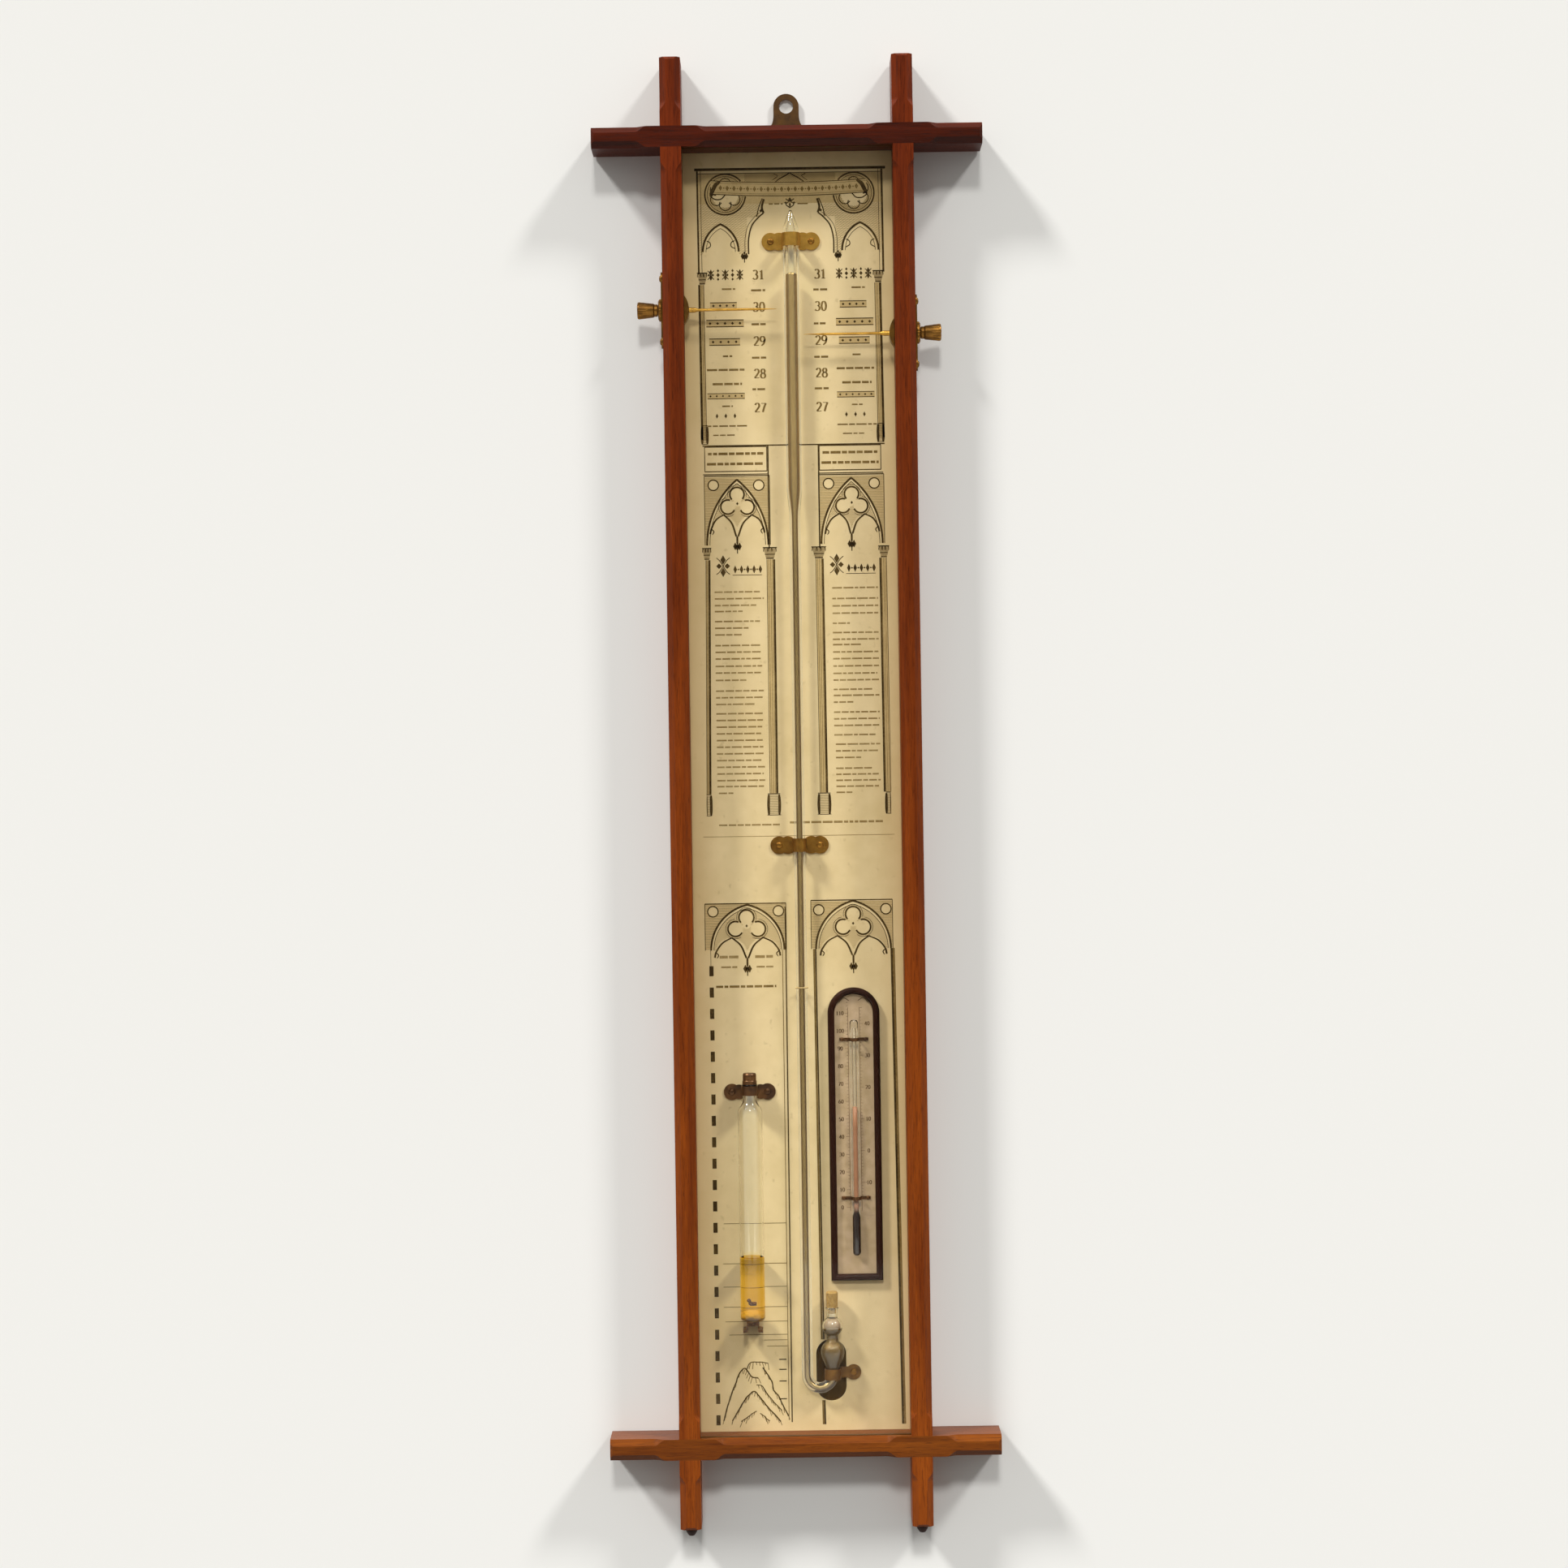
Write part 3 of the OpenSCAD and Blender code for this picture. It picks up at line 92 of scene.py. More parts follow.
def make_piece(name, points, quads, finish, slot, smooth=True):
    """A mesh object from an array of points in millimetres and an array of four-cornered faces.
    Corners that fall together, as at a pole, are merged, so the surface closes there. It rides the frame."""
    mesh = bpy.data.meshes.new(name)
    points = np.asarray(points, np.float64).reshape(-1, 3) * MM
    quads = np.asarray(quads, np.int32).reshape(-1, 4)
    mesh.vertices.add(len(points))
    mesh.vertices.foreach_set("co", points.astype(np.float32).ravel())
    mesh.loops.add(quads.size)
    mesh.loops.foreach_set("vertex_index", quads.ravel())
    mesh.polygons.add(len(quads))
    mesh.polygons.foreach_set("loop_start", np.arange(0, quads.size, 4, dtype=np.int32))
    mesh.update(calc_edges=True)
    work = bmesh.new()
    work.from_mesh(mesh)
    bmesh.ops.remove_doubles(work, verts=work.verts, dist=SAME_PLACE)
    work.to_mesh(mesh)
    work.free()
    mesh.polygons.foreach_set("use_smooth", np.full(len(mesh.polygons), smooth))
    mesh.materials.append(finish)
    mesh.update()
    piece = bpy.data.objects.new(name, mesh)
    bpy.context.scene.collection.objects.link(piece)
    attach(piece, "frame")
    return piece


def grid_faces(rows, columns, closed_rows=False):
    """Faces between the rows of a grid whose columns go once round and join up, and its rows too if asked."""
    i, j = np.meshgrid(np.arange(rows if closed_rows else rows - 1), np.arange(columns), indexing="ij")
    below, beside = (i + 1) % rows, (j + 1) % columns
    ring = [(i, j), (i, beside), (below, beside), (below, j)]
    return np.stack([a * columns + b for a, b in ring], -1).reshape(-1, 4)


def turned(profile, x, y, sides=48):
    """A turned surface: each (radius, height) of the profile goes once round the upright axis at (x, y).
    It faces outwards where the profile climbs and towards the axis where it comes down."""
    p = np.asarray(profile, float)
    a = np.linspace(0, 2 * np.pi, sides, endpoint=False)
    px = x + p[:, :1] * np.cos(a)
    py = y + p[:, :1] * np.sin(a)
    pz = np.broadcast_to(p[:, 1:], px.shape)
    return np.stack([px, py, pz], -1).reshape(-1, 3), grid_faces(len(p), sides)


def joined(*parts):
    """Several (points, faces) pairs as one."""
    count = np.cumsum([0] + [len(points) for points, _ in parts])
    faces = [quads + first for first, (_, quads) in zip(count, parts)]
    return np.vstack([points for points, _ in parts]), np.vstack(faces)


def carried(stations, radii, sides=48):
    """A round profile carried along the siphon. A station is a centre x and z and an outward x and z, and
    there a circle of that radius stands square to the path, in the plane of the outward direction and Y."""
    s = np.asarray(stations, float)
    r = np.asarray(radii, float)[:, None]
    a = np.linspace(0, 2 * np.pi, sides, endpoint=False)
    px = s[:, :1] + r * np.cos(a) * s[:, 2:3]
    pz = s[:, 1:2] + r * np.cos(a) * s[:, 3:4]
    py = TUBE_Y + r * np.sin(a)
    return np.stack([px, py, pz], -1).reshape(-1, 3), grid_faces(len(s), sides)


def round_off(z0, r0, z1, r1, steps=14):
    """A profile that goes from one radius to another along half a cosine wave."""
    t = np.linspace(0, 1, steps)
    return np.stack([r0 + (r1 - r0) * (1 - np.cos(np.pi * t)) / 2, z0 + (z1 - z0) * t], 1)


def bow(x, z, rx, rz, start, end, steps=20):
    """Part of an ellipse from one angle to another in degrees, anticlockwise from the right."""
    t = np.radians(np.linspace(start, end, steps))
    return np.stack([x + rx * np.cos(t), z + rz * np.sin(t)], 1)


def straight(z0, z1, r, steps):
    """A profile of one radius."""
    z = np.linspace(z0, z1, steps)
    return np.stack([np.full(steps, r), z], 1)


def hung(z, *points):
    """Profile points, each given as a radius and a depth below the height z."""
    return np.array([(r, z - depth) for r, depth in points], float)


def leg(profile, x, outward):
    """An upright leg's stations for carried, its circles open towards outward."""
    z = np.asarray(profile, float)[:, 1]
    return np.stack([np.full(len(z), x), z, np.full(len(z), outward), np.zeros(len(z))], 1)


def siphon(down, bend_radius, up):
    """The siphon's stations and radii: down the long leg, half round the bend and up the short leg."""
    t = np.radians(np.linspace(0, 180, 33)[1:-1])
    bend_x = TUBE_X + BEND_R - BEND_R * np.cos(t)
    bend = np.stack([bend_x, BEND_Z - BEND_R * np.sin(t), -np.cos(t), -np.sin(t)], 1)
    stations = np.vstack([leg(down, TUBE_X, -1.0), bend, leg(up, CISTERN_X, 1.0)])
    return stations, np.concatenate([down[:, 0], np.full(len(t), bend_radius), up[:, 0]])


def cistern_leg(wall, foot):
    """The short leg's profile upwards: it swells from the bend to the bulb, draws in to the neck and rounds
    over the ball. Each arc starts and ends where its circle has the radius of the part that it meets."""
    bulb, ball, neck, stem = BULB_R - wall, BALL_R - wall, NECK_R - wall, STEM_R - wall
    bulb_end = math.degrees(math.acos(neck / bulb))
    ball_start = -math.degrees(math.acos(neck / ball))
    ball_end = math.degrees(math.acos(stem / ball))
    return np.vstack([
        round_off(BEND_Z, foot, BULB_Z, bulb),
        bow(0, BULB_Z, bulb, bulb, 4, bulb_end, 14),
        bow(0, BALL_Z, ball, ball, ball_start, ball_end, 26)])


# Shader nodes

BLACK = (0.0, 0.0, 0.0, 1.0)
COLOUR, NUMBER, VECTOR = "NodeSocketColor", "NodeSocketFloat", "NodeSocketVector"


def paint(r, g, b):
    """The linear colour for a colour written from 0 to 255."""
    c = np.array([r, g, b]) / 255.0
    c = np.where(c <= 0.04045, c / 12.92, ((c + 0.055) / 1.055) ** 2.4)
    return tuple(float(v) for v in c) + (1.0,)


def add(tree, kind, values=None, **settings):
    """A node with its settings. A value that is another node's socket is linked, any other is set."""
    node = tree.nodes.new(kind)
    for key, value in settings.items():
        setattr(node, key, value)
    for key, value in (values or {}).items():
        if isinstance(value, bpy.types.NodeSocket):
            tree.links.new(value, node.inputs[key])
        else:
            node.inputs[key].default_value = value
    return node


def mix(tree, share, a, b):
    """Colour a going over to colour b."""
    return add(tree, "ShaderNodeMix", {0: share, 6: a, 7: b}, data_type="RGBA").outputs[2]


def sums(tree, operation, a, b=0.0, clamp=False):
    """One arithmetic step on two values."""
    return add(tree, "ShaderNodeMath", {0: a, 1: b}, operation=operation, use_clamp=clamp).outputs[0]


def plus(tree, a, b):
    """a and b together."""
    return sums(tree, "ADD", a, b)


def minus(tree, a, b):
    """a without b."""
    return sums(tree, "SUBTRACT", a, b)


def times(tree, a, b):
    """a times b."""
    return sums(tree, "MULTIPLY", a, b)


def weighed(tree, a, share_a, b, share_b):
    """The sum of two values, each times its share."""
    return plus(tree, times(tree, a, share_a), times(tree, b, share_b))


def noise(tree, vector, scale, detail=4.0, roughness=0.55, distortion=0.0):
    """Cloudy noise from 0 to 1."""
    values = {"Vector": vector, "Scale": scale, "Detail": detail, "Roughness": roughness}
    values["Distortion"] = distortion
    return add(tree, "ShaderNodeTexNoise", values).outputs[0]


def span(tree, value, low, high, to_low=0.0, to_high=1.0):
    """The value's range low to high stretched to another range, clamped."""
    values = {0: value, 1: low, 2: high, 3: to_low, 4: to_high}
    return add(tree, "ShaderNodeMapRange", values, clamp=True).outputs[0]


def new_group(name, inputs, outputs):
    """An empty node group with named sockets, and where they arrive and leave."""
    group = bpy.data.node_groups.new(name, "ShaderNodeTree")
    for label, kind in inputs.items():
        group.interface.new_socket(label, in_out="INPUT", socket_type=kind)
    for label, kind in outputs.items():
        group.interface.new_socket(label, in_out="OUTPUT", socket_type=kind)
    return group, group.nodes.new("NodeGroupInput").outputs, group.nodes.new("NodeGroupOutput").inputs


def use(tree, group, values):
    """The group placed in a material with its own values."""
    return add(tree, "ShaderNodeGroup", values, node_tree=group).outputs


def make_wood_grain():
    """Grain: wide figure, finer streaks and short dark pores, on a vector stretched along the board."""
    tree, given, out = new_group(
        "wood_grain", {"Vector": VECTOR, "Pale": COLOUR, "Dark": COLOUR, "Pores": NUMBER},
        {"Color": COLOUR, "Roughness": NUMBER, "Height": NUMBER})
    figure = noise(tree, given["Vector"], 1.0, 3.0, 0.5, 0.6)
    streak = noise(tree, given["Vector"], 5.0, 6.0, 0.65, 0.3)
    solid = span(tree, noise(tree, given["Vector"], 17.0, 3.0, 0.6), 0.36, 0.46)
    tone = weighed(tree, figure, 0.55, streak, 0.45)
    colour = mix(tree, span(tree, tone, 0.34, 0.66), given["Dark"], given["Pale"])
    pore = times(tree, minus(tree, 1.0, solid), given["Pores"])
    pore_colour = mix(tree, 0.62, given["Dark"], BLACK)
    tree.links.new(mix(tree, minus(tree, 1.0, pore), pore_colour, colour), out["Color"])
    tree.links.new(span(tree, streak, 0.2, 0.8, 0.34, 0.5), out["Roughness"])
    tree.links.new(weighed(tree, streak, 0.5, solid, 0.5), out["Height"])
    return tree


def make_metal_ageing():
    """Old lacquered metal: slow clouds of tone, small dark spots and fine scratches."""
    tree, given, out = new_group(
        "metal_ageing", {"Vector": VECTOR, "Bright": COLOUR, "Dull": COLOUR, "Spots": NUMBER},
        {"Color": COLOUR, "Roughness": NUMBER, "Height": NUMBER})
    cloud = noise(tree, given["Vector"], 130.0, 5.0, 0.6)
    fine = noise(tree, given["Vector"], 1300.0, 3.0, 0.6)
    spot = span(tree, noise(tree, given["Vector"], 520.0, 4.0, 0.7), 0.56, 0.68)
    colour = mix(tree, span(tree, cloud, 0.35, 0.65), given["Dull"], given["Bright"])
    spot_colour = mix(tree, 0.55, given["Dull"], BLACK)
    tree.links.new(mix(tree, times(tree, spot, given["Spots"]), colour, spot_colour), out["Color"])
    rough = plus(tree, span(tree, cloud, 0.3, 0.7, 0.36, 0.24), times(tree, fine, 0.22))
    tree.links.new(rough, out["Roughness"])
    tree.links.new(weighed(tree, fine, 0.5, spot, -0.4), out["Height"])
    return tree


def make_paper_ageing():
    """Old card: wide clouds of yellowing, small brown spots and fine fibres."""
    tree, given, out = new_group(
        "paper_ageing", {"Vector": VECTOR, "Clean": COLOUR, "Stain": COLOUR, "Spotting": NUMBER},
        {"Color": COLOUR, "Height": NUMBER})
    wide = noise(tree, given["Vector"], 9.0, 4.0, 0.55)
    close = noise(tree, given["Vector"], 70.0, 5.0, 0.6)
    fibre = noise(tree, given["Vector"], 1500.0, 3.0, 0.6)
    spot = span(tree, noise(tree, given["Vector"], 210.0, 2.0, 0.5), 0.66, 0.76)
    tone = weighed(tree, wide, 0.6, close, 0.4)
    colour = mix(tree, span(tree, tone, 0.4, 0.72), given["Clean"], given["Stain"])
    spot_colour = mix(tree, 0.4, given["Stain"], (0.16, 0.07, 0.02, 1.0))
    colour = mix(tree, times(tree, spot, given["Spotting"]), colour, spot_colour)
    tree.links.new(mix(tree, span(tree, fibre, 0.3, 0.7, 0.0, 0.06), colour, given["Stain"]), out["Color"])
    tree.links.new(fibre, out["Height"])
    return tree


def make_ink_wear():
    """Printing ink: it thins out in small patches and takes the card's tone there."""
    tree, given, out = new_group(
        "ink_wear", {"Vector": VECTOR, "Ink": COLOUR, "Thin": COLOUR}, {"Color": COLOUR})
    wide = noise(tree, given["Vector"], 60.0, 4.0, 0.6)
    close = noise(tree, given["Vector"], 700.0, 3.0, 0.6)
    patch = weighed(tree, wide, 0.5, close, 0.5)
    tree.links.new(mix(tree, span(tree, patch, 0.45, 0.68), given["Ink"], given["Thin"]), out["Color"])
    return tree


wood_grain = make_wood_grain()
metal_ageing = make_metal_ageing()
paper_ageing = make_paper_ageing()
ink_wear = make_ink_wear()


def new_finish(name):
    """A material with an empty tree."""
    finish = bpy.data.materials.new(name)
    finish.use_nodes = True
    finish.node_tree.nodes.clear()
    return finish, finish.node_tree


def shown(finish, shader):
    """The finish with this shader as its surface."""
    tree = finish.node_tree
    tree.links.new(shader.outputs[0], tree.nodes.new("ShaderNodeOutputMaterial").inputs["Surface"])
    return finish


def dressed(finish, values):
    """The finish with one Principled shader that holds these values."""
    return shown(finish, add(finish.node_tree, "ShaderNodeBsdfPrincipled", values))


def between(finish, share, first, second):
    """The finish with one shader going over to another."""
    return shown(finish, add(finish.node_tree, "ShaderNodeMixShader",
                             {0: share, 1: first.outputs[0], 2: second.outputs[0]}))


def own_place(tree):
    """The object's own coordinates, in metres."""
    return tree.nodes.new("ShaderNodeTexCoord").outputs["Object"]


def place_on(tree, scale=(1.0, 1.0, 1.0), shift=(0.0, 0.0, 0.0)):
    """The object's own coordinates, stretched and shifted."""
    values = {"Vector": own_place(tree), "Scale": scale, "Location": shift}
    return add(tree, "ShaderNodeMapping", values).outputs[0]


def place_of(tree):
    """The object's own X, Y and Z, in metres."""
    return add(tree, "ShaderNodeSeparateXYZ", {0: own_place(tree)}).outputs


def bumped(tree, height, strength, distance):
    """A normal that leans with the height's slope."""
    values = {"Strength": strength, "Distance": distance, "Height": height}
    return add(tree, "ShaderNodeBump", values).outputs[0]


# The stretch of the grain, for boards that run across and boards that run up
GRAIN = {"x": (5.0, 95.0, 95.0), "z": (95.0, 95.0, 5.0)}


def wood_finish(name, along, head, foot=None, pores=0.5, shift=0.0):
    """Varnished wood with its grain along one axis. head and foot are each a pale and a dark colour, from 0 to
    255. With both, the colours go over from one pair to the other down the frame."""
    finish, tree = new_finish(name)
    pale, dark = (paint(*stain) for stain in head)
    if foot:
        # the colours change with height alone, from the foot pair at the bottom to the head pair at the top
        height = span(tree, place_of(tree)[2], -0.95, 0.0)
        pale = mix(tree, height, paint(*foot[0]), pale)
        dark = mix(tree, height, paint(*foot[1]), dark)
    vector = place_on(tree, GRAIN[along], (shift, shift * 0.7, shift * 0.3))
    grain = use(tree, wood_grain, {"Vector": vector, "Pale": pale, "Dark": dark, "Pores": pores})
    return dressed(finish, {
        "Base Color": grain["Color"], "Roughness": grain["Roughness"], "Coat Weight": 0.05,
        "Coat Roughness": 0.22, "Specular IOR Level": 0.08,
        "Normal": bumped(tree, grain["Height"], 0.35, 0.0003)})


def metal_finish(name, bright, dull, spots=0.4, metallic=0.85):
    """Aged metal. Its two tones are colours from 0 to 255."""
    finish, tree = new_finish(name)
    values = {"Vector": place_on(tree), "Bright": paint(*bright), "Dull": paint(*dull), "Spots": spots}
    aged = use(tree, metal_ageing, values)
    return dressed(finish, {
        "Base Color": aged["Color"], "Metallic": metallic, "Roughness": aged["Roughness"],
        "Normal": bumped(tree, aged["Height"], 0.3, 0.0001)})


def ink_finish(name, full, worn):
    """Printing ink, between two colours from 0 to 255."""
    finish, tree = new_finish(name)
    tone = use(tree, ink_wear, {"Vector": place_on(tree), "Ink": paint(*full), "Thin": paint(*worn)})
    return dressed(finish, {"Base Color": tone["Color"], "Roughness": 0.75, "Specular IOR Level": 0.1})


def glass_finish(name, tint, ior=1.5, shade=None):
    """Clear glass or liquid. Shadows and bounced light pass straight through it, so what stands behind keeps
    its light and no more."""
    finish, tree = new_finish(name)
    body = add(tree, "ShaderNodeBsdfPrincipled", {
        "Base Color": tint, "Roughness": 0.02, "IOR": ior, "Transmission Weight": 1.0})
    clear = add(tree, "ShaderNodeBsdfTransparent", {"Color": shade or tint})
    ray = tree.nodes.new("ShaderNodeLightPath").outputs
    return between(finish, sums(tree, "MAXIMUM", ray["Is Shadow Ray"], ray["Is Diffuse Ray"]), body, clear)


def pane_finish():
    """Thin flat glass: see-through, with a faint reflection that grows towards the edge of sight."""
    finish, tree = new_finish("pane_glass")
    shine = add(tree, "ShaderNodeBsdfPrincipled", {
        "Base Color": (0.9, 0.92, 0.9, 1.0), "Metallic": 1.0, "Roughness": 0.03})
    clear = add(tree, "ShaderNodeBsdfTransparent", {"Color": (0.985, 0.99, 0.98, 1.0)})
    edge = add(tree, "ShaderNodeFresnel", {"IOR": 1.22}).outputs[0]
    shadow = tree.nodes.new("ShaderNodeLightPath").outputs["Is Shadow Ray"]
    behind = tree.nodes.new("ShaderNodeNewGeometry").outputs["Backfacing"]
    lit = minus(tree, 1.0, sums(tree, "MAXIMUM", shadow, behind))
    return between(finish, times(tree, edge, lit), clear, shine)


def card_finish():
    """The chart's card: cream, with painted shade along its left and right edges, where the stiles shade it.
    """
    finish, tree = new_finish("chart_card")
    aged = use(tree, paper_ageing, {
        "Vector": place_on(tree), "Clean": paint(238, 211, 160), "Stain": paint(218, 190, 136),
        "Spotting": 0.35})
    from_middle = sums(tree, "ABSOLUTE", minus(tree, place_of(tree)[0], 0.001))
    # painted shade: the card goes darker towards its left and right edges, next to the stiles
    edge = times(tree, span(tree, from_middle, 0.058, 0.078), 0.6)
    return dressed(finish, {
        "Base Color": mix(tree, edge, aged["Color"], paint(196, 166, 112)), "Roughness": 0.82,
        "Normal": bumped(tree, aged["Height"], 0.25, 0.00006)})


def scale_finish():
    """The thermometer's silvered scale plate, gone dull and pinkish grey."""
    finish, tree = new_finish("silvered_scale")
    aged = use(tree, metal_ageing, {
        "Vector": place_on(tree), "Bright": paint(198, 168, 134), "Dull": paint(178, 150, 112), "Spots": 0.3})
    return dressed(finish, {
        "Base Color": aged["Color"], "Metallic": 0.15, "Roughness": 0.55,
        "Normal": bumped(tree, aged["Height"], 0.15, 0.00005)})


def board_finish():
    """The plain backboard, dark inside the oval recess behind the bulb: a dark stain there together with
    painted shade of the recess.
    """
    finish, tree = new_finish("backboard_wood")
    grain = use(tree, wood_grain, {
        "Vector": place_on(tree, (70.0, 70.0, 4.0)), "Pale": paint(176, 136, 88), "Dark": paint(138, 98, 58),
        "Pores": 0.4})
    x, y, z = place_of(tree)
    across = sums(tree, "DIVIDE", minus(tree, x, RECESS_X * MM), RECESS_HALF_X * MM)
    up = sums(tree, "DIVIDE", minus(tree, z, RECESS_Z * MM), RECESS_HALF_Z * MM)
    oval = plus(tree, times(tree, across, across), times(tree, up, up))
    front = sums(tree, "LESS_THAN", y, -0.003)
    # Inside the recess the colour goes dark: a dark stain with painted shade of the recess
    inside = times(tree, span(tree, oval, 1.5, 1.3), front)
    return dressed(finish, {
        "Base Color": mix(tree, inside, grain["Color"], paint(78, 52, 12)), "Roughness": 0.8,
        "Specular IOR Level": 0.08, "Normal": bumped(tree, grain["Height"], 0.5, 0.0004)})


def cork_finish():
    """Cork: pale grains with dark pits between them."""
    finish, tree = new_finish("stopper_cork")
    vector = place_on(tree)
    cells = add(tree, "ShaderNodeTexVoronoi", {"Vector": vector, "Scale": 900.0}).outputs[0]
    pit = span(tree, noise(tree, vector, 420.0, 4.0, 0.7), 0.56, 0.66)
    tone = mix(tree, span(tree, cells, 0.1, 0.7), paint(190, 154, 86), paint(162, 124, 62))
    return dressed(finish, {
        "Base Color": mix(tree, times(tree, pit, 0.7), tone, paint(120, 82, 44)), "Roughness": 0.85,
        "Normal": bumped(tree, minus(tree, cells, pit), 0.6, 0.0003)})


def mercury_finish():
    """Mercury in an old tube: a dulled mirror, darker in the narrow bore and duller in the short leg."""
    finish, tree = new_finish("tube_mercury")
    cloud = noise(tree, place_on(tree, (1.0, 1.0, 0.25)), 90.0, 4.0, 0.6)
    x, _, z = place_of(tree)
    bend = span(tree, z, -0.951, -0.941, 1.0, 0.0)
    above_bend = minus(tree, 1.0, bend)
    short_leg = times(tree, above_bend, span(tree, x, 0.011, 0.013))
    narrow = times(tree, span(tree, z, -0.27, -0.34), above_bend)
    colour = mix(tree, span(tree, cloud, 0.35, 0.7), (0.38, 0.262, 0.11, 1.0), (0.29, 0.19, 0.072, 1.0))
    colour = mix(tree, times(tree, narrow, 0.45), colour, (0.10, 0.06, 0.018, 1.0))
    colour = mix(tree, times(tree, short_leg, 0.75), colour, (0.10, 0.058, 0.02, 1.0))
    colour = mix(tree, times(tree, bend, 0.5), colour, (0.20, 0.15, 0.08, 1.0))
    rough = plus(tree, span(tree, cloud, 0.3, 0.7, 0.3, 0.42), times(tree, short_leg, 0.2))
    return dressed(finish, {"Base Color": colour, "Metallic": 1.0, "Roughness": rough})


def crystal_finish(name, pale, dark):
    """Damp crystals: pale and glassy, with painted shade in the hollows between the grains. The two tones are
    colours from 0 to 255.
    """
    finish, tree = new_finish(name)
    lump = add(tree, "ShaderNodeTexVoronoi", {"Vector": place_on(tree), "Scale": 700.0}).outputs[0]
    return dressed(finish, {
        # painted shade: the colour goes to the dark tone in the hollows between the grains
        "Base Color": mix(tree, span(tree, lump, 0.1, 0.8), paint(*pale), paint(*dark)), "Roughness": 0.5,
        "Specular IOR Level": 0.12, "Normal": bumped(tree, lump, 0.6, 0.0004)})


def spirit_finish():
    """Dyed spirit, a little uneven, and nearly black in the bulb."""
    finish, tree = new_finish("thermometer_spirit")
    cloud = noise(tree, place_on(tree), 160.0, 3.0, 0.5)
    deep = span(tree, place_of(tree)[2], -0.824, -0.829)
    thread = mix(tree, cloud, paint(178, 126, 92), paint(158, 104, 72))
    return dressed(finish, {
        "Base Color": mix(tree, deep, thread, paint(30, 10, 3)), "Roughness": 0.35,
        "Specular IOR Level": 0.2})


def scum_finish():
    """The grey-brown film that mercury leaves in the ball, with thinner patches that let light through. Low in
    the ball, near the mercury, it goes dark brown: partly dirt at the mercury's level, partly painted shade on
    the ball's lower side.
    """
    finish, tree = new_finish("ball_scum")
    cloud = noise(tree, place_on(tree), 240.0, 4.0, 0.6)
    pale = mix(tree, span(tree, cloud, 0.35, 0.65), paint(182, 154, 124), paint(152, 122, 92))
    # dirt with painted shade: the film darkens low in the ball, by the mercury's level
    height = span(tree, place_of(tree)[2], -0.9178, -0.9125)
    return dressed(finish, {
        "Base Color": mix(tree, height, paint(92, 64, 34), pale), "Roughness": 0.5,
        "Alpha": span(tree, cloud, 0.3, 0.7, 0.7, 0.92)})


# Finishes

# Both woods are darker at the head of the frame and paler at its foot
upright_wood = wood_finish(
    "upright_wood", "z", ((124, 46, 8), (78, 24, 3)), ((148, 72, 14), (104, 42, 5)), shift=0.3)
cross_wood = wood_finish(
    "cross_wood", "x", ((84, 24, 4), (46, 11, 2)), ((134, 70, 16), (92, 42, 6)), shift=1.7)
slip_wood = wood_finish("slip_wood", "z", ((92, 48, 14), (62, 30, 8)), pores=0.3)
cross_slip_wood = wood_finish("cross_slip_wood", "x", ((88, 54, 20), (60, 34, 10)), pores=0.3)
black_wood = wood_finish("black_wood", "z", ((50, 20, 6), (30, 10, 3)), pores=0.2)
board_wood = board_finish()
brass = metal_finish("aged_brass", (200, 152, 66), (154, 112, 40))
worn_brass = metal_finish("worn_brass", (152, 106, 38), (104, 68, 20), 0.5)
dull_brass = metal_finish("dull_brass", (122, 82, 30), (84, 54, 16), 0.5, 0.7)
knob_brass = metal_finish("knob_brass", (134, 92, 30), (90, 58, 14), 0.5, 0.8)
dark_brass = metal_finish("dark_brass", (104, 66, 28), (62, 37, 15), 0.5, 0.6)
bronze = metal_finish("bronzed_plate", (104, 70, 26), (70, 44, 14), 0.6, 0.5)
card = card_finish()
silvered = scale_finish()
tube_glass = glass_finish("tube_glass", (0.97, 0.98, 0.955, 1.0))
storm_glass = glass_finish("storm_glass_body", (0.985, 0.985, 0.965, 1.0), 1.47)
storm_liquid = glass_finish("storm_liquid", (0.88, 0.63, 0.09, 1.0), 1.0, (0.97, 0.95, 0.88, 1.0))
pane_glass = pane_finish()
mercury = mercury_finish()
cork = cork_finish()
scum = scum_finish()
crystals = crystal_finish("storm_crystals", (206, 166, 66), (184, 138, 40))
dark_crystals = crystal_finish("fern_crystal", (104, 62, 8), (62, 32, 2))
spirit = spirit_finish()
pale_thread = crystal_finish("index_thread", (216, 190, 140), (186, 156, 104))
dark_ink = ink_finish("printing_ink", (60, 43, 16), (108, 84, 44))
grey_ink = ink_finish("thin_printing_ink", (118, 92, 48), (154, 126, 76))
pale_ink = ink_finish("faint_printing_ink", (150, 122, 74), (180, 154, 104))
wash_ink = ink_finish("wash_ink", (198, 168, 114), (214, 184, 130))
scale_ink = ink_finish("scale_ink", (92, 68, 44), (126, 98, 68))

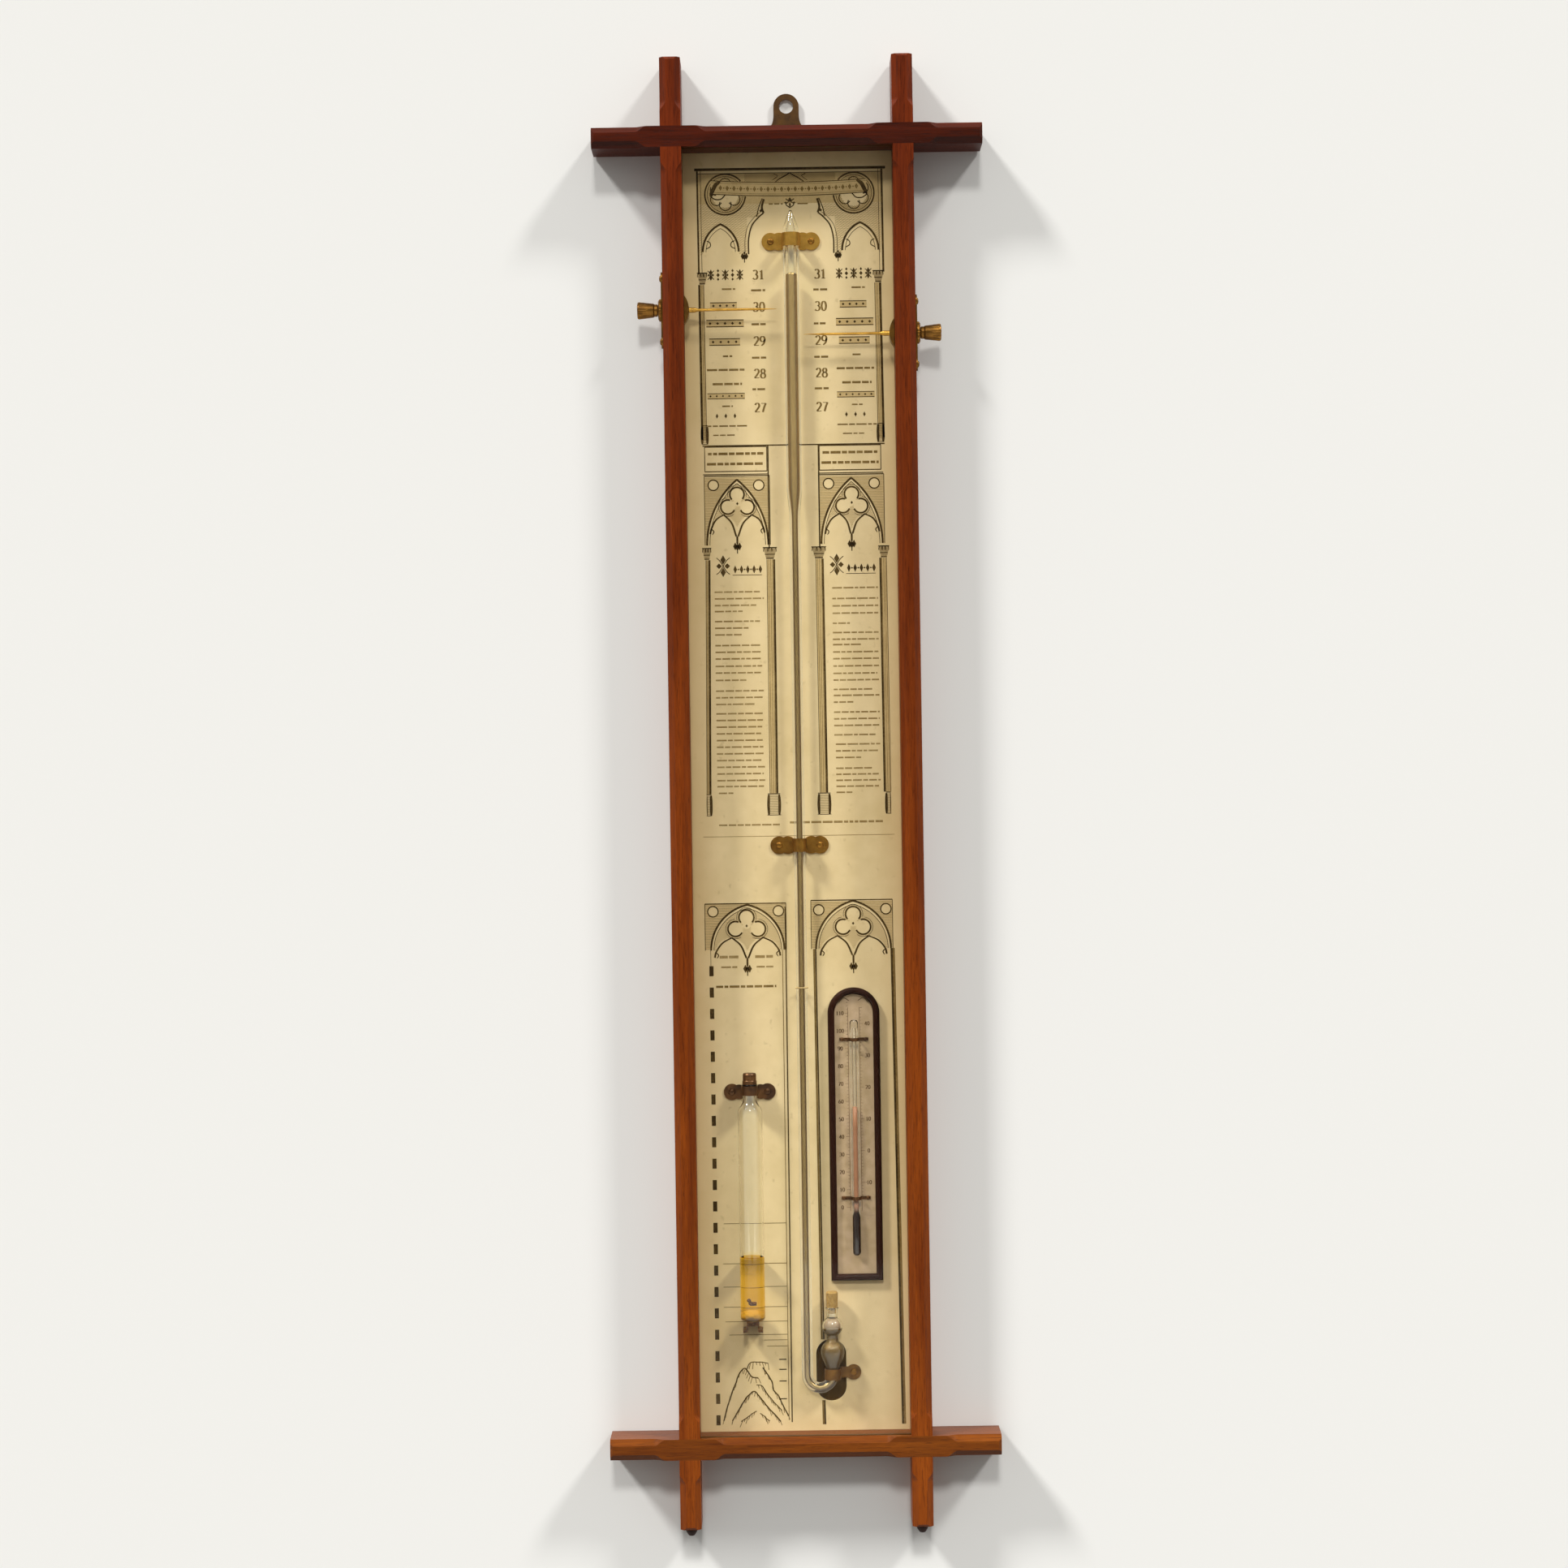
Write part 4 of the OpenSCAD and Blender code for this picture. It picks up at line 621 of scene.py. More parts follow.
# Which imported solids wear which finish
WEARERS = (
    (upright_wood, "left_stile right_stile"),
    (cross_wood, "top_rail bottom_rail"),
    (slip_wood, "left_slip right_slip"),
    (cross_slip_wood, "top_slip bottom_slip"),
    (black_wood, "left_tip right_tip thermometer_frame"),
    (board_wood, "backboard"),
    (card, "chart"),
    (silvered, "thermometer_plate"),
    (pane_glass, "glass_pane"),
    (cork, "cistern_stopper"),
    (brass, "upper_tube_clip left_pointer right_pointer"),
    (worn_brass, "middle_tube_clip clip_screws"),
    (dull_brass, "cistern_clip"),
    (knob_brass, "left_slide_plate left_spindle left_inner_plate left_collar left_knob"),
    (knob_brass, "right_slide_plate right_spindle right_inner_plate right_collar right_knob"),
    (dark_brass, "backboard_pins storm_stopper storm_clip storm_stirrup storm_screws"),
    (dark_brass, "thermometer_clips thermometer_pins"),
    (bronze, "hanger_plate hanger_screws"),
)
for finish, names in WEARERS:
    for name in names.split():
        places = nodes[name].data.materials
        if len(places) == 0:
            places.append(finish)
        for k in range(len(places)):
            places[k] = finish


# Glassware

def long_tube():
    """The siphon's glass: its outside from the sealed tip round to the lip of the stem and down inside to the
    mercury, and the empty bore above the column. Where mercury fills it, the mercury's own surface is the
    inside."""
    ball, stem = BALL_R - BLOWN_WALL, STEM_R - BLOWN_WALL
    down = np.vstack([
        hung(TUBE_TOP, (0, 0), (0.92, 0.4), (1.72, 2.2), (3.45, 7), (5.18, 11.4)),
        straight(TUBE_TOP - 14, NARROW_TOP, WIDE_R, 12),
        round_off(NARROW_TOP, WIDE_R, NARROW_LOW, TUBE_R, 16),
        straight(NARROW_LOW - 1, BEND_Z, TUBE_R, 40)])
    lip = hung(STEM_TOP, (STEM_R + 0.8, 0.5), (STEM_R + 0.8, 0), (stem, 0))
    inside_start = math.degrees(math.acos(stem / ball))
    inside_end = math.degrees(math.asin((CISTERN_LEVEL - BALL_Z) / ball))
    up = np.vstack([
        cistern_leg(0, TUBE_R),
        straight(STEM_TOP - 6.5, STEM_TOP - 1.4, STEM_R, 4),
        lip,
        straight(STEM_TOP - 1, STEM_TOP - 7.5, stem, 4),
        bow(0, BALL_Z, ball, ball, inside_start, inside_end, 16),
        [[LEVEL_R, CISTERN_LEVEL]]])
    empty = np.vstack([
        hung(TUBE_TOP, (0, 5), (0.9, 6.2), (1.38, 9)),
        straight(TUBE_TOP - 15, MERCURY_TOP - TOP_RISE, WIDE_BORE, 4)])
    return joined(carried(*siphon(down, TUBE_R, up)), turned(empty, TUBE_X, TUBE_Y))


def mercury_body():
    """The mercury: a rounded top, down the bore, round the bend and up through the bulb to a rounded level in
    the ball. Both tops are quarter turns of an ellipse."""
    a = np.linspace(0, 1, 8) * np.pi / 2
    top = np.stack([WIDE_BORE * np.sin(a), MERCURY_TOP - TOP_RISE * (1 - np.cos(a))], 1)
    down = np.vstack([
        top,
        straight(MERCURY_TOP - 3, NARROW_TOP, WIDE_BORE, 10),
        round_off(NARROW_TOP, WIDE_BORE, NARROW_LOW, TUBE_BORE, 16),
        straight(NARROW_LOW - 1, BEND_Z, TUBE_BORE, 40)])
    up = cistern_leg(BLOWN_WALL, TUBE_BORE)
    up = up[up[:, 1] < CISTERN_LEVEL - 0.05]
    level = np.stack([LEVEL_R * np.cos(a), CISTERN_LEVEL + LEVEL_RISE * np.sin(a)], 1)
    return carried(*siphon(down, TUBE_BORE, np.vstack([up, level])))


def storm_body():
    """The storm glass: its outside with the round foot, the shoulder and the lip, then its inside down to the
    liquid."""
    shoulder_top = STORM_SHOULDER + SHOULDER_RISE
    lip = hung(STORM_RIM, (STORM_NECK, 1), (STORM_NECK + 0.5, 0.4), (STORM_NECK + 0.5, 0),
               (STORM_NECK - BLOWN_WALL, 0))
    return turned(np.vstack([
        [[0, STORM_LOW]],
        bow(STORM_R - 3, STORM_LOW + 3, 3, 3, -90, 0, 10),
        straight(STORM_LOW + 6, STORM_SHOULDER, STORM_R, 10),
        round_off(STORM_SHOULDER, STORM_R, shoulder_top, STORM_NECK),
        lip,
        round_off(shoulder_top, STORM_NECK - BLOWN_WALL, STORM_SHOULDER, STORM_R - BLOWN_WALL),
        straight(STORM_SHOULDER - 1, LIQUID_TOP, STORM_R - BLOWN_WALL, 8)]), STORM_X, STORM_Y, 64)


def storm_fill():
    """The liquid: it fills the foot of the storm glass and creeps up the wall a little at its top, where it
    falls away from the wall along an exponential."""
    r, low = STORM_R - BLOWN_WALL, STORM_LOW + 1.6
    t = np.linspace(0, 1, 10)
    top = np.stack([r * (1 - t), LIQUID_TOP - 0.8 * (1 - np.exp(-t * 9))], 1)
    return turned(np.vstack([
        [[0, low]],
        bow(r - 2, low + 2, 2, 2, -90, 0, 8),
        straight(low + 3, LIQUID_TOP - 1, r, 6),
        top]), STORM_X, STORM_Y, 64)


def rough_lump(centre, size, bump, seed, low=-1.0):
    """A lump: an ellipsoid pushed in and out by a few waves with seeded phases, flattened below a height."""
    rows, sides = 24, 36
    rng = np.random.default_rng(seed)
    v = np.linspace(-np.pi / 2, np.pi / 2, rows)[:, None]
    u = np.linspace(0, 2 * np.pi, sides, endpoint=False)[None, :]
    wave = np.zeros((rows, sides))
    for k in range(2, 9):
        a, b = rng.uniform(0, 2 * np.pi, 2)
        wave += np.sin(k * u + a) * np.cos((k + 1) * v + b) / k
    grow = 1 + bump * wave * np.cos(v)
    shape = [grow * np.cos(v) * np.cos(u), grow * np.cos(v) * np.sin(u), np.maximum(grow * np.sin(v), low)]
    return (np.array(centre) + np.stack(shape, -1) * size).reshape(-1, 3), grid_faces(rows, sides)


def thermometer_glass():
    """The thermometer's stem and long bulb, and its empty bore above the spirit."""
    r, bulb = THERMO_R, THERMO_R - 0.2
    outside = np.vstack([
        bow(0, THERMO_LOW + bulb, bulb, bulb, -90, 0, 12),
        hung(THERMO_BULB_TOP, (bulb, 4), (r * 0.8, 0), (r, -4)),
        straight(THERMO_BULB_TOP + 6, THERMO_TOP - 2, r, 12),
        hung(THERMO_TOP, (r * 0.7, 0.6), (0, 0))])
    bore = np.vstack([
        hung(THERMO_TOP, (0, 6), (THREAD_R * 0.5, 6.05)),
        straight(THERMO_TOP - 6.6, SPIRIT_TOP, THREAD_R, 4)])
    return joined(turned(outside, THERMO_X, THERMO_Y, 40), turned(bore, THERMO_X, THERMO_Y, 20))


def thermometer_fill():
    """The spirit: the bulb's long body and the thin thread above it."""
    bulb = THERMO_R - 0.2
    return turned(np.vstack([
        [[0, THERMO_LOW + 1]],
        bow(bulb - 2.4, THERMO_LOW + 2.4, 1.4, 1.4, -90, 0, 6),
        hung(THERMO_BULB_TOP, (bulb - 1, 6), (THREAD_R, 1)),
        straight(THERMO_BULB_TOP, SPIRIT_TOP - 0.4, THREAD_R, 6),
        [[0, SPIRIT_TOP]]]), THERMO_X, THERMO_Y, 28)


def ball_film():
    """The film in the ball: the ball's inside from the mercury's level up to near the stem."""
    r = BALL_R - BLOWN_WALL - 0.15
    start = math.degrees(math.asin((CISTERN_LEVEL - BALL_Z + 0.4) / r))
    return turned(bow(0, BALL_Z, r, r, start, 62, 22), CISTERN_X, TUBE_Y)


def hoop(x, y, z, r, thick):
    """A ring round an upright tube: a small circle carried round a larger one, its faces turned outwards."""
    rows, sides = 40, 12
    u = np.linspace(0, 2 * np.pi, rows, endpoint=False)[:, None]
    v = np.linspace(0, 2 * np.pi, sides, endpoint=False)[None, :]
    reach = r + thick * np.cos(v)
    pz = np.broadcast_to(z + thick * np.sin(v), (rows, sides))
    points = np.stack([x + reach * np.cos(u), y + reach * np.sin(u), pz], -1).reshape(-1, 3)
    return points, grid_faces(rows, sides, closed_rows=True)[:, [0, 3, 2, 1]]


crystal_bed = rough_lump((STORM_X, STORM_Y, -904.0), (7.6, 7.6, 4.6), 0.1, 5, low=-0.4)
crystal_fern = joined(
    rough_lump((-37.9, -19.0, -894.6), (2.3, 1.6, 1.5), 0.5, 11),
    rough_lump((-40.0, -19.4, -892.2), (1.0, 0.9, 1.5), 0.4, 12))
thread = hoop(TUBE_X, TUBE_Y, -660.3, TUBE_R + 0.35, 0.55)

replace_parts(make_piece("long_tube_glass", *long_tube(), tube_glass, slot="tube_glass"), "barometer_tube")
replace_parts(make_piece("long_tube_mercury", *mercury_body(), mercury, slot="mercury"), "mercury")
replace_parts(make_piece("storm_glass_tube", *storm_body(), storm_glass, slot="tube_glass"), "storm_glass")
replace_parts(make_piece("storm_glass_fill", *storm_fill(), storm_liquid, slot="storm_liquid"), "storm_liquid")
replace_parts(make_piece("storm_glass_crystals", *crystal_bed, crystals, slot="crystals"), "storm_crystals")
make_piece("storm_fern_crystal", *crystal_fern, dark_crystals, slot="crystals")
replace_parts(make_piece("thermometer_stem", *thermometer_glass(), tube_glass, slot="tube_glass"),
            "thermometer_tube")
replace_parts(make_piece("thermometer_column", *thermometer_fill(), spirit, slot="spirit"),
            "thermometer_spirit")
make_piece("ball_scum", *ball_film(), scum, slot="mercury")
make_piece("tube_thread", *thread, pale_thread, slot="cork")


# Printing

def rows_of(*values):
    """Numbers and arrays brought to arrays of one length."""
    return np.broadcast_arrays(*(np.atleast_1d(np.asarray(v, float)) for v in values))


def four(*corners):
    """Quads from four corners, each an array of x and an array of z."""
    return np.stack([np.stack(corner, 1) for corner in corners], 1)


def even(path, step=0.7):
    """The same path with its points at even distances."""
    p = np.asarray(path, float)
    s = np.concatenate([[0], np.cumsum(np.hypot(*np.diff(p, axis=0).T))])
    at = np.linspace(0, s[-1], max(2, int(s[-1] / step) + 1))
    return np.stack([np.interp(at, s, p[:, 0]), np.interp(at, s, p[:, 1])], 1)


def smooth_line(knots, step=0.7):
    """A curve through its knots: between two of them, a cubic blend of the four nearest."""
    k = np.asarray(knots, float)
    k = np.vstack([2 * k[0] - k[1], k, 2 * k[-1] - k[-2]])
    t = np.linspace(0, 1, 12, endpoint=False)[None, :, None]
    a, b, c, d = (k[n:len(k) - 3 + n][:, None, :] for n in range(4))
    square, cube = 2 * a - 5 * b + 4 * c - d, 3 * b - a - 3 * c + d
    curve = 0.5 * (2 * b + (c - a) * t + square * t ** 2 + cube * t ** 3)
    return even(np.vstack([curve.reshape(-1, 2), k[-2]]), step)


class Print:
    """Flat quads in the card's plane. Each has four (x, z) corners in millimetres, anticlockwise for the
    viewer."""

    def __init__(self):
        self.quads = []

    def boxes(self, x0, z0, x1, z1):
        """Upright rectangles, one for each place in the arrays."""
        x0, z0, x1, z1 = rows_of(x0, z0, x1, z1)
        self.quads.append(four((x0, z1), (x0, z0), (x1, z0), (x1, z1)))

    def rules(self, x0, x1, z, thick):
        """Level rules, one for each place in the arrays."""
        z = np.asarray(z, float)
        self.boxes(x0, z - thick / 2, x1, z + thick / 2)

    def lozenges(self, x, z, half_x, half_z):
        """Diamond shapes, one for each place in the arrays."""
        x, z, half_x, half_z = rows_of(x, z, half_x, half_z)
        self.quads.append(four((x, z + half_z), (x - half_x, z), (x, z - half_z), (x + half_x, z)))

    def bars(self, x0, x1, z, height, seed):
        """A row of plain bars of uneven length with small gaps between them."""
        short, long, count, gap, shortest = 2.6, 8.0, 40, 1.0, 0.8
        length = np.random.default_rng(seed).uniform(short, long, count)
        start = x0 + np.concatenate([[0.0], np.cumsum(length + gap)[:-1]])
        end = np.minimum(start + length, x1)
        keep = end - start > shortest
        self.rules(start[keep], end[keep], z, height)

    def stroke(self, path, width, pen=0.0, taper=0.0):
        """A pen stroke: each point of the path moves half the width to both sides, square to the path.
        With pen above 0 it is thicker where it runs up and down than across, and taper thins its ends."""
        p = np.asarray(path, float)
        d = np.gradient(p, axis=0)
        if len(p) > 2 and np.allclose(p[0], p[-1]):
            d[0] = d[-1] = p[1] - p[-2]
        t = d / np.maximum(np.hypot(d[:, 0], d[:, 1]), 1e-9)[:, None]
        n = np.stack([-t[:, 1], t[:, 0]], 1)
        s = np.linspace(0, 1, len(p))
        w = width * (1 + pen * (np.abs(t[:, 1]) - 0.5)) * (1 - taper * (2 * s - 1) ** 4)
        left, right = p + n * w[:, None] / 2, p - n * w[:, None] / 2
        self.quads.append(np.stack([left[:-1], right[:-1], right[1:], left[1:]], 1))

    def line(self, points, width, step=0.7, taper=0.0):
        """A stroke straight from point to point."""
        self.stroke(even(points, step), width, taper=taper)

    def curve(self, knots, width, step=0.7, pen=0.0, taper=0.0):
        """A stroke along a smooth curve through the knots."""
        self.stroke(smooth_line(knots, step), width, pen, taper)

    def hatch(self, inside, box, pitch, width, slope=0.0):
        """Parallel lines wherever inside(x, z) holds within the box: samples run along each line, and each
        run of true ones becomes a bar."""
        x0, z0, x1, z1 = box
        step, shortest = 0.25, 0.6
        lean = abs(slope) * (x1 - x0)
        rows = np.arange(z0 - lean, z1 + lean, pitch)
        gx, gz = np.meshgrid(np.arange(x0, x1, step), rows)
        gz = gz + slope * (gx - x0)
        hit = np.pad(inside(gx, gz) & (gz > z0) & (gz < z1), ((0, 0), (1, 1))).astype(int)
        change = np.diff(hit, axis=1)
        row, a = np.nonzero(change == 1)
        _, b = np.nonzero(change == -1)
        keep = (b - a) * step > shortest
        row, a, b = row[keep], x0 + a[keep] * step, x0 + b[keep] * step
        za, zb, half = rows[row] + slope * (a - x0), rows[row] + slope * (b - x0), width / 2
        self.quads.append(four((a, za + half), (a, za - half), (b, zb - half), (b, zb + half)))

    def place(self, name, finish, y, slot="card"):
        """The quads as one mesh in the plane y."""
        q = np.concatenate(self.quads)
        points = np.stack([q[..., 0], np.full(q.shape[:2], y), q[..., 1]], -1).reshape(-1, 3)
        return make_piece(name, points, np.arange(len(points)), finish, smooth=False, slot=slot)


# The card is printed in four strengths, the thermometer's plate in one
ink = Print()
thin = Print()
faint = Print()
wash = Print()
scale = Print()


def beside(x, side, points):
    """Points given by their distance from x, towards one side, and their height."""
    return [(x + side * away, z) for away, z in points]


def outside_of(path, hidden):
    """The stretches of a path where hidden(x, z) is false."""
    p = even(path, 0.5)
    free = ~hidden(p[:, 0], p[:, 1])
    cut = np.flatnonzero(np.diff(free.astype(int))) + 1
    return [q for q, f in zip(np.split(p, cut), np.split(free, cut)) if f[0] and len(q) > 2]


def arch_radius(half, spring, apex):
    """The radius of a pointed arch's arcs, which stand upright at the springing line and meet at the apex."""
    return (half * half + (apex - spring) ** 2) / (2 * half)


def pointed(x, half, spring, apex):
    """The outline of a pointed arch: an arc up to the apex and its mirror image down."""
    r = arch_radius(half, spring, apex)
    top = math.degrees(math.atan2(apex - spring, half - r))
    left = bow(x - half + r, spring, r, r, 180, top, 30)
    return np.vstack([left, (left[::-1] * [-1, 1] + [2 * x, 0])[1:]])


def in_pointed(x, half, spring, apex):
    """A test for points under a pointed arch and above its springing line."""
    r = arch_radius(half, spring, apex)

    def inside(px, pz):
        left = np.hypot(px - (x - half + r), pz - spring) < r
        right = np.hypot(px - (x + half - r), pz - spring) < r
        return left & right & (pz > spring)

    return inside


def in_discs(centres, r):
    """A test for points inside any of several discs of one radius."""
    return lambda px, pz: np.any([np.hypot(px - x, pz - z) < r for x, z in centres], axis=0)


# Each figure's strokes, in a box one high and about half as wide
FIGURES = {
    "0": [bow(.3, .5, .24, .49, 90, 450, 30)],
    "1": [[(.12, .8), (.3, .97), (.3, .5), (.3, .03)], [(.1, .02), (.3, .02), (.5, .02)]],
    "2": [np.vstack([bow(.29, .72, .22, .26, 165, -25, 16), [(.28, .3), (.06, .04)]]),
          [(.05, .04), (.3, .04), (.56, .06)]],
    "3": [bow(.27, .75, .21, .23, 150, -85, 16), bow(.26, .27, .26, .26, 85, -150, 18)],
    "4": [[(.4, 0), (.4, .5), (.4, .98)], [(.4, .98), (.22, .6), (.03, .28)],
          [(.03, .28), (.3, .28), (.57, .28)]],
    "5": [[(.5, .96), (.3, .96), (.14, .96)], [(.14, .96), (.12, .76), (.1, .55)],
          bow(.27, .3, .25, .3, 125, -140, 20)],
    "6": [bow(.3, .29, .24, .28, 0, 360, 24), bow(.52, .3, .46, .68, 178, 100, 12)],
    "7": [[(.05, .96), (.3, .95), (.55, .96)], [(.55, .96), (.36, .5), (.22, .02)]],
    "8": [bow(.3, .75, .19, .22, 90, 450, 22), bow(.3, .27, .24, .26, 90, 450, 24)],
    "9": [bow(.3, .71, .24, .28, 0, 360, 24), bow(.08, .7, .46, .68, -2, -80, 12)],
}


def figures(p, number, x, z, height, weight):
    """A number centred at (x, z), drawn figure by figure with a broad pen."""
    wide = height * 0.66
    digits = str(number)
    for k, digit in enumerate(digits):
        left = x + wide * (k - len(digits) / 2) + 0.03 * height
        for path in FIGURES[digit]:
            p.stroke(np.asarray(path) * height * [0.98, 1] + [left, z - height / 2], weight, pen=1.1)


def band(x0, x1, z, height):
    """A row of small diamonds between two fine rules."""
    rule = height * 0.12
    for side in (-1, 1):
        ink.rules(x0, x1, z + side * (height - rule) / 2, rule)
    count = round((x1 - x0) / height)
    ink.lozenges(x0 + (np.arange(count) + 0.5) * (x1 - x0) / count, z, height * 0.2, height * 0.2)


def fleuron(x, z, half_x, half_z):
    """Crossed leaves: four lozenges and four finer curved ones between them, for each place in the array."""
    for c in np.atleast_1d(x):
        ink.lozenges([c, c], [z + half_z * 0.58, z - half_z * 0.58], half_x * 0.4, half_z * 0.44)
        ink.lozenges([c - half_x * 0.62, c + half_x * 0.62], z, half_x * 0.42, half_z * 0.26)
        for side in (-1, 1):
            for lift in (half_z, -half_z):
                leaf = beside(c, side, ((0, z), (half_x * 0.5, z + lift * 0.5), (half_x, z + lift * 0.78)))
                ink.curve(leaf, 0.5, step=0.4, pen=0.6)


def pendant(x, z_top, z_boss, size=2.6):
    """A hanging boss: a short stem that swells into a leafy bud."""
    leaf = size * 0.62
    ink.line([(x, z_top), (x, z_boss + size)], size * 0.55)
    ink.lozenges([x, x - leaf, x + leaf], z_boss + size * np.array([0, 0.25, 0.25]), leaf, size * 1.15)
    ink.line([(x, z_boss - size * 0.8), (x, z_boss - size * 1.8)], size * 0.3)


def capital(x, z, half):
    """A column's capital: a leafy block over a ringed neck."""
    for k in (-1, 0, 1):
        ink.stroke(bow(x + k * half * 0.62, z + 1.2, half * 0.42, 2.4, 200, -20, 12), 0.5)
    for share, lift, width in ((1.15, 3.4, 0.8), (0.8, -1.6, 0.8), (0.62, -4.6, 0.9)):
        ink.line([(x - half * share, z + lift), (x + half * share, z + lift)], width)
    thin.hatch(lambda px, pz: np.abs(px - x) < half * (0.9 + 0.06 * (pz - z)),
               (x - half * 1.2, z - 5, x + half * 1.2, z + 3.2), 0.62, 0.34)


def column(head, foot, width, heavy):
    """A slender shaft that may lean a little: a tinted body with three fine lines between its edges.
    heavy is the side of its thick edge."""
    shaft = np.linspace(head, foot, 60)
    for side in (-1, 1):
        ink.stroke(shaft + [side * width / 2, 0], 1.5 if heavy == side else 0.4)
    wash.stroke(shaft, width)
    for share in (-0.26, 0.02, 0.28):
        thin.stroke(shaft + [share * width, 0], 0.34)


def foot_block(x, top, low, half, heavy=0):
    """A column's foot: two rounded upright mouldings with light between them. heavy is the side of the thick
    one, or 0 where both are."""
    for side in (-1, 1):
        moulding = beside(x, side, ((half, top), (half * 1.08, (top + low) / 2), (half, low)))
        ink.line(moulding, 2.0 if heavy in (0, side) else 0.6, step=0.8, taper=0.4)
    thin.hatch(lambda px, pz: np.abs(px - x) < half, (x - half, low, x + half, top), 0.9, 0.3)
    ink.line([(x - half * 1.2, top + 0.6), (x + half * 1.2, top + 0.6)], 0.6)
    ink.line([(x - half * 1.3, low - 0.2), (x + half * 1.3, low - 0.2)], 0.5)


def window(x, half, top, spring, apex, lobes, lobe_r, corners, small, stem, boss, reach=1.5):
    """A traceried window head: a square frame, a pointed arch, a trefoil over two small arches and a hanging
    boss. lobes are the trefoil's centres and corners those of the rings in the frame's corners. small holds
    each small arch's apex and outer foot, stem is where the two meet, boss the boss's height, and reach how
    far the frame stands out on the left."""
    ring_r = 3.9
    middle = np.mean(lobes, axis=0)
    left, right = x - half - reach, x + half + 1.5
    low = min(foot[1] for _, foot in small)
    ink.line(pointed(x, half, spring, apex), 1.45)
    ink.line(pointed(x, half - 2.1, spring, apex - 2.7), 0.45)
    ink.line([(left, top), (right, top)], 0.8)
    for edge in (left, right):
        ink.line([(edge, top), (edge, spring)], 0.5)
    for cx, cz in corners:
        ink.stroke(bow(cx, cz, ring_r, ring_r, 0, 360, 30), 0.9)
    for lx, lz in lobes:
        inward = math.degrees(math.atan2(middle[1] - lz, middle[0] - lx))
        for r, gap, width in ((lobe_r, 48, 1.25), (lobe_r + 1.7, 75, 0.35)):
            ink.stroke(bow(lx, lz, r, r, inward + gap, inward + 360 - gap, 34), width)
    for side, ((sx, sz), (fx, fz)) in zip((1, -1), small):
        rise = [(fx, fz - 3), (fx + side * 1.2, fz + 1.5),
                ((fx + sx) / 2 - side * 0.6, (fz + sz) / 2 + 1.9), (sx, sz)]
        fall = [(sx, sz), ((sx + stem[0]) / 2 + side * 0.9, sz * 0.55 + stem[1] * 0.45 + 1.0),
                (stem[0] - side * 0.7, stem[1])]
        ink.curve(rise, 1.1, pen=0.5)
        ink.curve(fall, 1.1, pen=0.5)
        ink.curve(beside(fx, side, ((0.6, fz + 1.0), (2.8, fz - 1.2), (1.6, fz - 3.6))), 0.8, taper=0.6)
    pendant(stem[0], stem[1], boss)
    ink.lozenges(middle[0], middle[1] - 0.6, 0.9, 1.2)

    def spandrel(px, pz):
        """The field between the arch and the square frame, round the corners' rings."""
        free = (px > left + 0.2) & (px < right - 0.2) & (pz < top - 0.6) & (pz > spring)
        return free & ~in_pointed(x, half, spring, apex)(px, pz) & ~in_discs(corners, ring_r)(px, pz)

    def tracery(px, pz):
        """The field inside the arch, round the lobes and over the small arches."""
        free = in_pointed(x, half - 2.2, spring, apex - 2.8)(px, pz) & (pz > low + 1)
        free &= ~in_discs(lobes, lobe_r)(px, pz) & ~in_discs([middle], 3.0)(px, pz)
        for (_, crown), (foot_x, _) in small:
            free &= ~in_pointed((foot_x + stem[0]) / 2, abs(foot_x - stem[0]) / 2, low - 1, crown)(px, pz)
        return free

    head = (left, spring, right, top)
    body = (x - half, low, x + half, apex)
    wash.hatch(spandrel, head, 0.9, 0.6)
    wash.hatch(tracery, body, 0.9, 0.36)
    thin.hatch(spandrel, head, 1.2, 0.16)
    thin.hatch(tracery, body, 1.5, 0.14, slope=0.9)


# The frieze: the two roundels' centres, the ribbon that sags between them and the finial's place
ROUNDELS = ((-46.5, -66.6), (49.6, -66.6))
RIBBON_X, RIBBON_HALF = 0.9, 58
RIBBON_TOP, RIBBON_LOW = -58.0, -68.4
FINIAL_X = 1.8


def ribbon_rise(x):
    """How far the ribbon has risen at x, along a parabola."""
    return 0.0006 * (x - RIBBON_X) ** 2


def on_ribbon(px, pz):
    """A test for points on the ribbon, between its edges and its ends."""
    across = np.abs(px - RIBBON_X) < RIBBON_HALF
    return across & (pz < RIBBON_TOP + ribbon_rise(px)) & (pz > RIBBON_LOW + ribbon_rise(px))


def in_ring(x, z, inner, outer):
    """A test for points between two circles and off the ribbon."""

    def inside(px, pz):
        away = np.hypot(px - x, pz - z)
        return (away < outer) & (away >= inner) & ~on_ribbon(px, pz)

    return inside


def draw_head_rules():
    """The chart's upper edge and its side rules."""
    ink.boxes(-69.4, -48.9, 73.4, -46.9)
    ink.boxes(-67.6, -51.2, 71.4, -50.7)
    for top, low, width in ((-67.4, -67.0, 1.3), (-64.9, -64.6, 0.4), (70.6, 71.0, 1.5), (68.0, 68.3, 0.4)):
        ink.line([(top, -49), (low, -126)], width)


